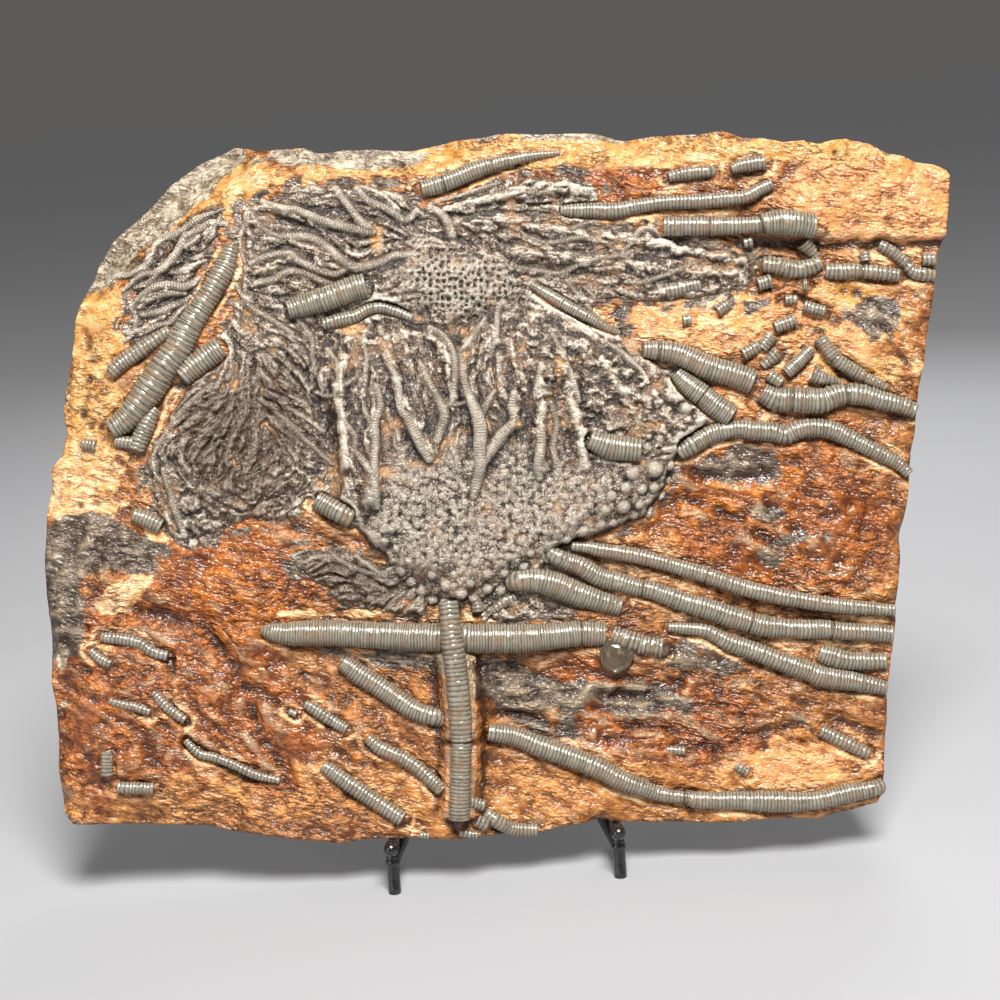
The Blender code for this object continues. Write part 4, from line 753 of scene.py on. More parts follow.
def crownShares():                       # the crown that each place belongs to, and its dome
    x, y = crownSheet.x, crownSheet.y
    warpX = x + crownLook["ragged"] * fractal(x, y, 15, 71, 3)
    warpY = y + crownLook["ragged"] * fractal(x, y, 15, 75, 3)
    owner = np.full(crownCoarse.x.shape, np.nan)
    tallest = owner.copy()
    for number, name in enumerate(crownNames):
        tops = castHeights(nodeTree(name), crownCoarse.x, crownCoarse.y)
        owner[~np.isnan(tops)] = number
        tallest = np.fmax(tallest, tops)
    rise = np.where(np.isnan(owner), crownLook["groundRise"],
                    tallest - sheet.read(stoneBase, crownCoarse.x, crownCoarse.y))
    ground = np.zeros(owner.shape, bool)
    for outline in fossilGround:
        ground |= insidePolygon(crownCoarse.x, crownCoarse.y, outline)
    while np.isnan(owner[ground]).any():     # spreads each crown over the ground next to it
        for shift, axis in ((1, 0), (-1, 0), (1, 1), (-1, 1)):
            beside = np.roll(owner, shift, axis)
            owner = np.where(np.isnan(owner) & ground, beside, owner)
    presence = np.stack([crownCoarse.read((owner == number).astype(float), warpX, warpY)
                         for number in range(len(crownNames))])
    label = np.where(presence.sum(0) > 0.5, presence.argmax(0), -1)
    return label, softened(crownCoarse.read(rise, x, y), 5)


def distanceInwards(label):              # sheet units from the crowns' common border
    cells = (label[::4, ::4] >= 0)
    edge = cells & ~(np.roll(cells, 1, 0) & np.roll(cells, -1, 0)
                     & np.roll(cells, 1, 1) & np.roll(cells, -1, 1))
    rim = np.column_stack([crownSheet.x[::4, ::4][edge], crownSheet.y[::4, ::4][edge]])
    away = np.full(crownCoarse.x.shape, 999.0)
    for start in range(0, len(rim), 200):
        part = rim[start:start + 200]
        reach = np.hypot(crownCoarse.x[..., None] - part[:, 0], crownCoarse.y[..., None] - part[:, 1])
        away = np.minimum(away, reach.min(-1))
    return crownCoarse.read(away, crownSheet.x, crownSheet.y)


def fineRelief(nodules, honeycomb, fan, crumpled):   # strands, folds, nodules and pits in mm
    x, y, look = crownSheet.x, crownSheet.y, crownLook
    angle = flowAngles()
    noises = [smoothNoise(x, y, cell, 81 + number) for number, cell in enumerate(look["strandCells"])]
    folds, cords, fibres = combed(angle, noises, look["strandReach"])
    feathers = combed(angle + look["featherTurn"], [smoothNoise(x, y, 2.0, 84)], 7)[0]
    folds = np.clip(np.abs(folds) / 1.1, 0, 1) ** 0.6 - 0.6
    cords = np.clip(np.abs(cords) / 1.1, 0, 1) ** 0.65 - 0.6
    combing = folds * look["folds"] + cords * look["cords"] + np.clip(fibres, -1.6, 1.6) * look["fibres"]
    strands = np.clip(1 - nodules - honeycomb - 0.75 * crumpled, 0, 1)
    creases = np.clip(np.abs(fractal(x, y, 17, 141, 4, 0.6, 1.5, 10)), 0, 0.7)
    wrinkles = np.abs(fractal(x, y, 6.5, 151, 3, 0.6))
    relief = look["swell"] * fractal(x, y, 34, 91, 3)
    relief += strands * combing * (1 + look["fanDepth"] * fan) + fan * feathers * look["feathers"]
    relief += (0.25 + crumpled) * (look["creases"] * creases - 0.8)
    relief += (1 - nodules) * (look["wrinkles"] * wrinkles - 0.2)
    near, tone = pebbles(x, y, look["noduleCell"], 101)
    domed = np.sqrt(np.clip(1 - (near / look["noduleReach"]) ** 2, 0, 1))
    relief += nodules * (look["noduleRise"] * domed * (0.65 + 0.4 * tone) - 0.8)
    near = pebbles(x, y, look["pitCell"], 111, 0.6)[0]
    relief += honeycomb * (0.2 - look["pitDepth"] * ease(1 - near / look["pitReach"]))
    near = pebbles(x, y, look["grainCell"], 121)[0]
    return relief + (1 - near) * look["grainRise"] * (0.5 + nodules + honeycomb)


def armRelief(bedLevel):                 # heights of the arms, and how far along its arm each place is
    x, y = crownSheet.x, crownSheet.y
    heights = np.full(x.shape, -99.0)
    armRun = np.zeros(x.shape)
    for number, points in enumerate(crownArms["lines"]):
        line = curveThrough(points, 0.6)
        along = lengthAlong(line)
        bed = crownSheet.read(bedLevel, line[:, 0], line[:, 1])
        bed = np.maximum(softened(bed[None], 5)[0], 0.6) - crownArms["sunk"]
        radius = line[:, 2] / 2
        rise = radius * plate["unit"] / mm * (0.95 + 0.12 * np.sin(along / 5 + number))
        spots = np.column_stack([line[:, 0], line[:, 1], radius * 1.02, bed, rise])
        own = np.full(x.shape, -99.0)
        crownSheet.press(own, spots, lambda share, s: s[:, 3] + s[:, 4] * (1 - share ** 2) ** 0.6)
        rows, columns = np.nonzero(own > heights)
        away = np.hypot(x[rows, columns][:, None] - line[:, 0], y[rows, columns][:, None] - line[:, 1])
        armRun[rows, columns] = along[away.argmin(1)]
        heights = np.maximum(heights, own)
    return heights, armRun


def ballRelief(bedLevel):                # heights of the large nodules
    spots = np.array(largeNodules, float)
    spots[:, 2] *= crownLook["ballRadius"]
    bed = crownSheet.read(bedLevel, spots[:, 0], spots[:, 1]) - 0.6
    heights = np.full(crownSheet.x.shape, -99.0)
    crownSheet.press(heights, np.column_stack([spots, bed]), lambda share, s:
                     s[:, 3] + s[:, 2] * crownLook["ballRise"] * (1 - share ** 2) ** 0.5)
    return heights


def roomForStems():                      # the level that the crowns keep to, under the stems in them
    limit = np.full(crownSheet.x.shape, 99.0)
    for name, line in stemLines.items():
        if name.startswith("right_stem") or len(line) < 24:
            continue
        line = line[8:-8]                # their ends stay bedded
        level = (line[:, 3] - sheet.read(stoneBase, line[:, 0], line[:, 1])
                 - crownLook["stemSink"] * line[:, 2])
        radius = line[:, 2] / 2 + crownLook["stemRoom"]
        spots = np.column_stack([line[:, 0], line[:, 1], radius, level])
        crownSheet.press(limit, spots, lambda share, s: s[:, 3] + 1.2 * share ** 6, lowest=True)
    return limit


def crownRelief():
    x, y = crownSheet.x, crownSheet.y
    label, dome = crownShares()
    zones = {name: patches(x, y, spots) for name, spots in calyxZones.items()}
    zones["crumpled"] *= 1 - zones["nodules"]
    foot = crownLook["foot"] - crownLook["steeper"] * patches(x, y, crownLook["steepPlaces"])
    shoulder = ease(distanceInwards(label) / foot)
    relief = shoulder * (dome + fineRelief(**zones)) - crownLook["sunk"] * (1 - shoulder)
    bedLevel = softened(relief, 6)
    arms, armRun = armRelief(bedLevel)
    armMask = softened((arms > relief - 0.1).astype(float), 1)
    relief = np.maximum(relief, arms)
    balls = ballRelief(bedLevel)
    ballMask = softened((balls > relief).astype(float), 1)
    relief = np.minimum(np.maximum(relief, balls), roomForStems())
    union = ease(softened((label >= 0).astype(float), 2), 0.3, 0.8)
    relief = relief * union - crownLook["under"] * (1 - union)
    masks = dict(
        # rise is low in creases and high on crests: the crown's finish paints shade in the creases and
        # highlights on the crests with it, and puts the matrix colour in the hollows
        rise=relief - softened(relief, 7), arm=np.maximum(armMask, ballMask), armRun=armRun,
        nodules=np.maximum(zones["nodules"], zones["honeycomb"]), fan=zones["fan"],
        tint=fractal(x, y, 20, 131, 4) + blobs(x, y, seamPlaces),
    )
    return dict(label=label, height=sheet.read(stoneBase, x, y) + relief, masks=masks)


def coverOnSheet():                      # 1 where a crown lies on the stone
    cover = np.zeros(sheet.x.shape)
    column = (sheet.x - crownSheet.left) / crownSheet.step
    row = (sheet.y - crownSheet.top) / crownSheet.step
    inside = (column >= 0) & (column < crownSheet.columns - 1) & (row >= 0) & (row < crownSheet.rows - 1)
    cover[inside] = (crown["label"] >= 0)[row[inside].astype(int), column[inside].astype(int)]
    return cover


crown = crownRelief()
crownCover = coverOnSheet()
print("worked out the crowns' relief")


# Stone: relief and finish masks on the sheet

stoneZones = dict(
    ochre=[(600, 152, 330, 16, 0, 1.2), (890, 160, 70, 20, 8, 1.1), (200, 205, 60, 34, -30, 0.9),
           (98, 330, 30, 60, 8, 1.3), (88, 430, 36, 60, 5, 1.3), (240, 180, 60, 22, 10, 0.8),
           (420, 165, 120, 16, -5, 0.9), (90, 500, 40, 30, 0, 0.8), (860, 330, 90, 60, 20, 0.7),
           (395, 240, 20, 20, 0, 0.9), (150, 365, 20, 14, -30, 0.6)],
    rust=[(170, 660, 130, 110, 20, 1.0), (250, 580, 60, 50, 0, 1.1), (240, 720, 110, 60, 30, 0.8),
          (800, 520, 100, 90, 10, 1.1), (720, 500, 60, 50, -20, 1.0), (620, 190, 110, 26, 0, 0.7),
          (680, 720, 140, 50, 10, 0.8), (100, 740, 60, 70, 0, 0.8), (560, 690, 90, 40, 0, 0.4)],
    orange=[(245, 565, 46, 42, 0, 1.3), (270, 620, 60, 26, 15, 0.8), (215, 610, 40, 40, 0, 0.7),
            (715, 500, 60, 22, -15, 1.0), (760, 470, 60, 20, 10, 0.7), (300, 760, 60, 40, 30, 0.4)],
    peach=[(875, 200, 90, 44, 5, 1.3), (780, 330, 110, 50, 10, 0.7), (700, 320, 60, 30, 10, 0.6),
           (620, 320, 40, 20, 20, 0.6), (840, 770, 80, 30, 0, 0.5), (770, 750, 90, 30, 0, 0.4)],
    cream=[(60, 480, 34, 40, 0, 0.9), (110, 470, 30, 24, -30, 0.7), (90, 506, 34, 9, 0, 0.7),
           (122, 596, 34, 16, -35, 0.75), (160, 540, 26, 10, 50, 0.7), (350, 614, 90, 7, 0, 0.7),
           (250, 180, 26, 16, 0, 0.7), (700, 160, 50, 10, 0, 0.5), (715, 330, 30, 14, 10, 0.5)],
    ash=[(160, 205, 110, 20, -42, 1.7), (100, 255, 44, 18, -62, 1.5), (340, 156, 80, 14, 0, 1.2),
         (600, 134, 120, 7, 0, 0.9), (60, 640, 12, 120, 0, 0.5)],
    grey=[(505, 680, 50, 36, 10, 0.8), (625, 700, 90, 22, 5, 0.75), (390, 655, 90, 16, 5, 0.8),
          (86, 545, 54, 34, 0, 1.3), (62, 618, 26, 46, -8, 1.2), (560, 735, 60, 16, 20, 0.5),
          (150, 560, 30, 30, 0, 0.5), (520, 610, 60, 16, 0, 0.9), (700, 265, 80, 30, 0, 0.9),
          (745, 310, 60, 14, 0, 0.5), (860, 320, 60, 30, 30, 0.4), (690, 655, 60, 20, 10, 0.7),
          (780, 720, 60, 20, 20, 0.4), (734, 466, 46, 22, 5, 0.9), (770, 512, 24, 11, 0, 0.8),
          (794, 552, 54, 22, -10, 0.45), (882, 312, 26, 18, 0, 0.9)],
    tan=[(700, 790, 230, 40, 0, 0.9), (420, 790, 160, 40, 8, 0.8), (160, 792, 150, 38, 0, 1.0),
         (840, 350, 90, 60, 10, 0.7), (640, 810, 200, 20, 0, 0.8)],
)
stonePatches = dict(                     # where the face is stepped, layered and slanted
    stepped=[(180, 690, 130, 110, 20, 1), (800, 520, 90, 90, 0, 0.7), (720, 700, 150, 60, 0, 0.6)],
    layered=[(650, 705, 160, 60, 6, 1.2), (500, 690, 60, 40, 0, 0.8), (70, 600, 50, 60, 0, 0.6)],
    slanted=[(850, 340, 90, 70, 0, 1.2), (330, 740, 130, 70, 30, 0.6), (150, 740, 120, 70, 0, 0.6)],
)
wetPlaces = [(250, 575, 70, 55, 0, 1.3), (800, 520, 110, 90, 0, 0.9), (650, 710, 160, 60, 0, 0.8),
             (300, 700, 110, 60, 20, 0.5), (500, 200, 400, 60, 0, 0.3)]

# Depths and heights are in mm, and places and widths in sheet units
stoneLook = dict(
    broad=1.5, lumps=1.2, steps=2.2, grit=0.42, pits=0.9,
    ledgeLevel=242, ledgeStart=735, ledgeEnd=775, ledgeDepth=1.9, ledgeRise=0.9,
    valleySpread=1.7, moat=0.7, bank=0.3,
    underCrowns=0.25,                    # share of the relief that is left under the crowns
    ribDrop=2.6, ribTop=648, ribWidth=(23, 11),   # the ridge that carries the crossing stem
)

stoneValleys = [                         # points with depth in mm, and half-width in sheet units
    (9, [(128, 602, 0.6), (150, 612, 1.8), (182, 618, 2.4), (212, 636, 2.6), (236, 668, 2.4),
         (250, 700, 2.6), (258, 728, 3.0), (276, 762, 2.4), (300, 792, 1.2)]),
    (8, [(178, 700, 0.8), (186, 735, 2.2), (214, 758, 2.0), (250, 782, 1.4), (286, 800, 0.6)]),
    (7, [(62, 640, 0.8), (84, 664, 1.4), (120, 676, 1.2), (150, 668, 0.6)]),
    (8, [(262, 655, 0.8), (300, 672, 1.6), (330, 690, 1.0)]),
    (8, [(212, 540, 1.0), (240, 520, 2.2), (280, 520, 2.6), (312, 530, 2.4), (340, 548, 1.4)]),
    (9, [(668, 505, 1.0), (700, 500, 2.2), (736, 516, 2.6), (770, 540, 1.8), (812, 566, 1.0)]),
    (8, [(690, 470, 1.0), (716, 478, 2.0), (760, 470, 2.0), (800, 456, 1.0)]),
    (7, [(560, 690, 0.8), (610, 704, 1.6), (660, 690, 2.0), (700, 672, 1.4), (730, 670, 0.6)]),
    (7, [(590, 736, 0.8), (650, 728, 1.8), (700, 742, 2.0), (760, 734, 1.4), (800, 720, 0.8)]),
    (7, [(480, 700, 0.8), (520, 716, 1.6), (560, 724, 1.4), (600, 722, 0.6)]),
    (7, [(790, 700, 0.6), (824, 714, 1.8), (856, 726, 1.6), (880, 734, 0.8)]),
    (7, [(800, 300, 0.8), (840, 318, 1.8), (880, 330, 2.0), (915, 352, 1.2)]),
    (6, [(832, 290, 0.6), (866, 300, 1.4), (900, 318, 1.6), (925, 330, 0.8)]),
    (7, [(640, 316, 0.6), (690, 330, 1.4), (730, 334, 1.4), (760, 320, 0.6)]),
    (7, [(84, 330, 0.6), (92, 360, 1.4), (84, 400, 1.6), (92, 430, 0.8)]),
    (7, [(120, 520, 0.6), (104, 548, 1.6), (96, 580, 1.8), (104, 606, 1.0)]),
]


def distanceToStems():                   # sheet units from a stem's side, negative under it
    away = np.full(sheet.x.shape, 40.0)
    reach = 16.0
    spots = np.vstack([*stemLines.values(), *fragmentLines.values()])[:, :3]
    radius = spots[:, 2] / 2
    spots = np.column_stack([spots[:, :2], radius + reach, radius])
    sheet.press(away, spots, lambda share, s: share * s[:, 2] - s[:, 3], lowest=True)
    return away


def valleyDepths():
    wandering = 5 * fractal(sheet.x[::10, ::10], sheet.y[::10, ::10], 30, 321, 3)
    valleys = np.zeros(sheet.x.shape)
    for halfWidth, points in stoneValleys:
        line = curveThrough(points, 3.0)
        aside = wandering[(line[:, 1] / 10).astype(int), (line[:, 0] / 10).astype(int)]
        radius = np.full(len(line), halfWidth * stoneLook["valleySpread"])
        spots = np.column_stack([line[:, 0] + aside, line[:, 1] + aside, radius, line[:, 2]])
        sheet.press(valleys, spots, lambda share, s: s[:, 3] * (1 - share ** 1.3) ** 2)
    return softened(valleys, 1)


def openRelief(masks):                   # the stone away from crowns and stems
    x, y, look = sheet.x, sheet.y, stoneLook
    places = {name: patches(x, y, spots) for name, spots in stonePatches.items()}
    relief = look["broad"] * fractal(x, y, 64, 211, 3)
    relief += look["lumps"] * fractal(x, y, 24, 221, 4, 0.5, 1.5, 20)
    ledges = smoothNoise(x, y, 46, 231, 2.2, 33) * 3.2
    steps = ledges - np.floor(ledges)
    relief += look["steps"] * places["stepped"] * (ease(steps, 0.0, 0.35) - steps)
    relief += places["layered"] * (1.1 - 2.6 * np.abs(fractal(x, y, 15, 241, 4, 0.55, 4.2, 4)))
    relief += places["slanted"] * (0.9 - 2.0 * np.abs(fractal(x, y, 13, 251, 4, 0.55, 3.2, 36)))
    grit = fractal(x, y, 7, 261, 3, 0.6)
    relief += look["grit"] * grit * (0.7 + 0.5 * masks["ochre"] + 0.3 * masks["rust"])
    near, tone = pebbles(x, y, 13, 271, 1.0)
    relief -= look["pits"] * masks["ochre"] * ease(1 - near / 0.3) * (tone > 0.45)
    ledgeLine = look["ledgeLevel"] + 3.5 * fractal(x, y, 30, 281, 3)
    ledge = ease(x, look["ledgeStart"], look["ledgeEnd"])
    relief -= look["ledgeDepth"] * ledge * ease(np.abs(y - ledgeLine - 4), 9, 2)
    relief += look["ledgeRise"] * ledge * ease(np.abs(y - ledgeLine + 7), 9, 3)
    return relief - valleyDepths()


def stoneRelief():
    x, y = sheet.x, sheet.y
    masks = {}
    for seed, (name, spots) in enumerate(stoneZones.items()):
        rough = fractal(x, y, 26, 200 + 7 * seed, 5, 0.62)
        masks[name] = ease(blobs(x, y, spots) + 0.42 * rough, 0.3, 0.75)
    stemGap = distanceToStems()
    free = 1 - softened(crownCover, 3)
    under = stoneLook["underCrowns"]
    relief = openRelief(masks) * (under + (1 - under) * free)
    relief -= stoneLook["moat"] * ease(np.abs(stemGap - 1.0), 3.2, 0.4) * free
    relief += stoneLook["bank"] * ease(np.abs(stemGap - 6.0), 4.5, 1.0) * free

    ribs = np.zeros(x.shape)
    for name in ("main_stem", "main_stem_lower"):
        line = stemLines[name]
        middle = np.interp(y, line[:, 1], line[:, 0])
        target = np.interp(y, line[:, 1], line[:, 3]) - stoneLook["ribDrop"] - stoneBase
        first, last = max(line[0, 1] - 2, stoneLook["ribTop"]), line[-1, 1] + 2
        rib = ease(y, first, first + 8) * ease(-y, -last, 3 - last)
        rib *= ease(np.abs(x - middle), *stoneLook["ribWidth"])
        relief = np.maximum(relief, relief * (1 - rib) + target * rib)
        ribs = np.maximum(ribs, rib)

    def paint(name, values):
        masks[name] = np.maximum(masks[name], values)

    bankNoise = smoothNoise(x, y, 18, 291)
    creamy = ease(bankNoise, 0.3, 0.6) * ease(smoothNoise(x, y, 70, 292), 0.15, 0.5)
    crownRim = softened(crownCover, 2) * (1 - crownCover)
    fallen = ease(softened(crownCover, 9), 0.1, 0.4)
    paint("rust", 0.9 * ribs)
    paint("cream", 0.85 * ease(np.abs(stemGap - 3.6), 3.8, 0.6) * creamy)
    paint("cream", 0.8 * ease(crownRim, 0.2, 0.45) * ease(bankNoise, 0.35, 0.55))
    paint("grey", 0.7 * fallen * ease(smoothNoise(x, y, 10, 301), 0.4, 0.65))
    masks["cream"] *= 1 - 0.8 * ribs
    # painted shade and painted highlight: this mask is low in the relief's hollows and high on its raised
    # parts, and the limestone paints the hollows dark and the raised parts cream with it
    top = softened(relief, 1)
    masks["hollow"] = np.clip(0.5 + 0.55 * (top - softened(top, 6)), 0, 1)
    masks["wet"] = np.clip(blobs(x, y, wetPlaces) + 0.4 * fractal(x, y, 30, 311, 4), 0, 1)
    return relief, masks


stoneDetail, stoneMasks = stoneRelief()
stoneHeight = stoneBase + stoneDetail
print("worked out the stone's relief")


# Slab: a grid over the face, rings round its broken sides and a grid over its back

slab = dict(
    columns=306, rows=238,
    backColumns=88, backRows=68,
    sideRings=(0.02, 0.06, 0.14, 0.28, 0.45, 0.62, 0.8, 0.93),   # shares of the way to the back
    sideRoughness=2.0, chips=1.6,        # mm
    backDraw=0.982,                      # how far the back's outline is drawn in
    backDips=1.3, backEdge=5.5,          # mm
    armReach=0.07,                       # the back stays flat within this of the easel, in metres
    seat=-0.1468, seatHalf=0.0125, arms=(-0.0588, 0.0414),       # where the easel's arms carry it
    top=[(91, 260), (106, 239), (126, 220), (151, 196), (167, 180), (182, 169), (198, 157),
         (229, 140), (256, 146), (276, 144), (301, 145), (315, 151), (330, 151), (342, 148),
         (371, 147), (398, 148), (424, 145), (453, 138), (506, 133), (535, 134), (595, 133),
         (617, 138), (650, 136), (698, 136), (720, 133), (741, 138), (759, 140), (782, 145),
         (800, 143), (815, 147), (825, 144), (845, 140), (866, 145), (886, 153), (913, 161),
         (930, 165), (944, 171), (948, 177)],
    right=[(948, 177), (947, 202), (944, 235), (937, 253), (934, 280), (930, 315), (925, 346),
           (917, 407), (914, 440), (910, 461), (906, 502), (901, 543), (898, 584), (895, 625),
           (890, 660), (887, 691), (886, 722), (884, 753), (883, 792), (877, 802)],
    bottom=[(61, 816), (70, 826), (112, 825), (204, 827), (235, 832), (266, 835), (297, 839),
            (340, 843), (361, 839), (385, 838), (416, 838), (441, 838), (459, 838), (482, 834),
            (515, 834), (541, 831), (566, 825), (597, 821), (650, 822), (723, 822), (774, 818),
            (824, 818), (856, 809), (877, 802)],
    left=[(91, 260), (87, 280), (80, 302), (74, 323), (73, 340), (70, 364), (63, 395), (62, 415),
          (66, 432), (61, 457), (50, 469), (49, 490), (46, 518), (45, 560), (47, 596), (48, 625),
          (49, 656), (51, 683), (55, 707), (57, 740), (58, 800), (61, 816)],
)
slabGrids = ((slab["columns"], slab["rows"]), (slab["backColumns"], slab["backRows"]))


def runPlace(points, share):             # places at shares of a run's length
    points = np.array(points, float)
    away = lengthAlong(points)
    return np.column_stack([np.interp(share * away[-1], away, points[:, axis]) for axis in (0, 1)])


def betweenEdges(s, t):                  # a place inside the four edges, s to the right and t down
    corners = [np.array(slab[run][end], float) for run in ("top", "bottom") for end in (0, -1)]
    top, bottom = [runPlace(slab[run], s) for run in ("top", "bottom")]
    left, right = [runPlace(slab[run], t) for run in ("left", "right")]
    s, t = s[:, None], t[:, None]
    return ((1 - t) * top + t * bottom + (1 - s) * left + s * right
            - (1 - s) * (1 - t) * corners[0] - s * (1 - t) * corners[1]
            - (1 - s) * t * corners[2] - s * t * corners[3])


def relaxed(places, columns, rows, order):   # evens out the lattice between its edges
    grid = np.zeros((rows + 1, columns + 1, 2))
    grid[order[:, 1], order[:, 0]] = places
    for _ in range(60):
        grid[1:-1, 1:-1] = (grid[:-2, 1:-1] + grid[2:, 1:-1] + grid[1:-1, :-2] + grid[1:-1, 2:]) / 4
    return grid[order[:, 1], order[:, 0]]


def slabShell():                         # s, t and depth tell where each vertex belongs
    shape = bmesh.new()
    layers = {name: shape.verts.layers.float.new(name) for name in ("s", "t", "depth")}
    rims = []
    for (columns, rows), depth in zip(slabGrids, (0.0, 1.0)):
        grid = bmesh.ops.create_grid(shape, x_segments=columns, y_segments=rows, size=0.5)["verts"]
        for vert in grid:
            vert[layers["s"]], vert[layers["t"]] = vert.co.x + 0.5, 0.5 - vert.co.y
            vert[layers["depth"]] = depth
        rims.append(list({edge for vert in grid if vert.is_boundary
                          for edge in vert.link_edges if edge.is_boundary}))
    rim, backRim = rims
    for depth in slab["sideRings"]:
        grown = bmesh.ops.extrude_edge_only(shape, edges=rim)["geom"]
        rim = [part for part in grown if isinstance(part, bmesh.types.BMEdge)]
        for vert in {vert for edge in rim for vert in edge.verts}:
            vert[layers["depth"]] = depth
    for vert in shape.verts:             # apart, so that the two rims join ring to ring
        vert.co.z = -vert[layers["depth"]]
    bmesh.ops.bridge_loops(shape, edges=rim + backRim)
    return written(shape, "stoneSlab")


def makeSlab(material):
    mesh = slabShell()
    s, t, depth = [readMask(mesh, name).astype(float) for name in ("s", "t", "depth")]
    back = depth > 0.99
    x, y = np.zeros(len(s)), np.zeros(len(s))
    for (columns, rows), chosen in zip(slabGrids, (depth < 0.99, back)):
        places = betweenEdges(s[chosen], t[chosen])
        order = np.column_stack([np.round(s[chosen] * columns), np.round(t[chosen] * rows)])
        places = relaxed(places, columns, rows, order.astype(int))
        x[chosen], y[chosen] = places[:, 0], places[:, 1]
    inwards = np.minimum.reduce([s, 1 - s, t, 1 - t])
    across, up = sheetToFace(x, y)
    u, v = across / mm, up / mm
    wave = slab["sideRoughness"] * mm * (
        0.8 * fractal(u + depth * 30, v - depth * 22, 16, 401, 4) - 0.35)
    chip = slab["chips"] * mm * ease(depth, 0.0, 0.15) * (fractal(u, v, 9, 411, 3) - 0.2)
    push = (wave * ease(depth, 0, 0.2) + chip) * ((depth > 0) & (inwards < 1e-4))
    spread = 1 + (slab["backDraw"] - 1) * ease(depth, 0.5, 1)
    spread = spread * (1 + push / np.maximum(np.hypot(across, up), 1e-6))
    across, up = across * spread, up * spread

    dips = slab["backDips"] * np.clip(fractal(across / mm, up / mm, 60, 421, 5, 0.6), -1, 0.2) - 0.3
    dips += slab["backEdge"] * ease(1 - inwards / 0.05) * back
    nearArms = np.abs(across - np.mean(slab["arms"])) < slab["armReach"]
    backLevel = np.where(nearArms, np.maximum(dips, 0), np.maximum(dips, -0.4) + 0.4) - plate["thickness"]
    out = sheet.read(stoneHeight, x, y)
    height = np.where(back, backLevel, out + depth * (-plate["thickness"] - out))
    overArm = np.min([np.abs(across - arm) for arm in slab["arms"]], axis=0) < slab["seatHalf"]
    up = np.where(((t > 0.99) & overArm) | back, np.maximum(up, slab["seat"]), up)
    writePoints(mesh, facePoint(across, up, height * mm))

    for name, mask in stoneMasks.items():
        values = sheet.read(mask, x, y)
        if name == "hollow":
            values = np.where(depth > 0.3, 0.5, values)
        else:
            values = values * ease(1 - depth / 0.3)
        writeMask(mesh, name, values)
    writeMask(mesh, "side", ease(depth, 0.0, 0.12))
    return newPiece("stoneSlab", facedOut(mesh), material, "limestone", "stone_slab")


# Crown pieces: one lattice, parted between the nodes so that its cells never overlap

def makeCrown(name, number, material):
    chosen = crown["label"][::2, ::2] == number
    rows, columns = np.nonzero(chosen)
    left, top = max(columns.min() - 1, 0), max(rows.min() - 1, 0)
    right = min(columns.max() + 2, chosen.shape[1] - 1)
    low = min(rows.max() + 2, chosen.shape[0] - 1)
    shape = bmesh.new()
    column, row, skirt = [shape.verts.layers.int.new(key) for key in ("column", "row", "skirt")]
    grid = bmesh.ops.create_grid(shape, x_segments=right - left, y_segments=low - top, size=0.5)["verts"]
    for vert in grid:
        vert[column] = left + round((vert.co.x + 0.5) * (right - left))
        vert[row] = top + round((0.5 - vert.co.y) * (low - top))
    unwanted = [face for face in shape.faces
                if not chosen[min(v[row] for v in face.verts), min(v[column] for v in face.verts)]]
    bmesh.ops.delete(shape, geom=unwanted, context="FACES")
    grown = bmesh.ops.extrude_edge_only(shape, edges=borderOf(shape))["geom"]
    for part in grown:
        if isinstance(part, bmesh.types.BMVert):
            part[skirt] = 1
    mesh = written(shape, name)
    c, r, under = [readMask(mesh, key, np.int32) for key in ("column", "row", "skirt")]
    c, r = c * 2, r * 2
    floor = crown["height"][r, c].min() - 4.0
    height = np.where(under > 0, floor, crown["height"][r, c])
    writePoints(mesh, onPlate(crownSheet.x[r, c], crownSheet.y[r, c], height))
    for key, values in crown["masks"].items():
        writeMask(mesh, key, values[r, c])
    shape = opened(mesh)
    bmesh.ops.triangle_fill(shape, edges=borderOf(shape), use_beauty=False)
    mesh = facedOut(written(shape, mesh))
    return newPiece(pieceName(name, "Relief"), mesh, material, "crown_calcite", name)


# Tubes: a grid rolled up round a line, with its seam and ends closed

def unitRows(rows):                      # each row's vector made one long
    return rows / np.linalg.norm(rows, axis=1)[:, None]


def rollUp(name, centres, sideways, upwards, radii, masks, flatten=1.0):
    rows, around = radii.shape
    shape = bmesh.new()
    bmesh.ops.create_grid(shape, x_segments=rows - 1, y_segments=around, size=0.5)
    mesh = written(shape, name)
    places = readPoints(mesh)
    row = np.round((places[:, 0] + 0.5) * (rows - 1)).astype(int)
    spoke = np.round((places[:, 1] + 0.5) * around).astype(int) % around
    angle = spoke / around * 2 * math.pi
    radius = radii[row, spoke]
    writePoints(mesh, centres[row] + (np.cos(angle) * radius)[:, None] * sideways[row]
                + (np.sin(angle) * radius * flatten)[:, None] * upwards[row])
    for key, values in masks.items():
        writeMask(mesh, key, values[row, spoke])
    shape = opened(mesh)
    seam = [vert for vert in shape.verts if vert.is_boundary]
    bmesh.ops.remove_doubles(shape, verts=seam, dist=1e-7)
    bmesh.ops.holes_fill(shape, edges=borderOf(shape), sides=0)
    return facedOut(written(shape, mesh))


stemLook = dict(
    around=22, rough=0.018, flatten=0.96,
    uneven=0.2, sizes=0.024, step=0.018, # how much columnals differ in length and in size
    swell=((0.2, 0.985, 0.75), (0.5, 1.01, 1.0), (0.8, 0.985, 0.75)),   # place, size and crest
    ends=((0.12, 0.3), (0.62, 0.45), (0.9, 0.8)), farEnds=((0.9, 0.6), (0.62, 0.4), (0.12, 0.3)),
    breakWidth=1.6, breakDepth=0.16, cap=0.06,
)


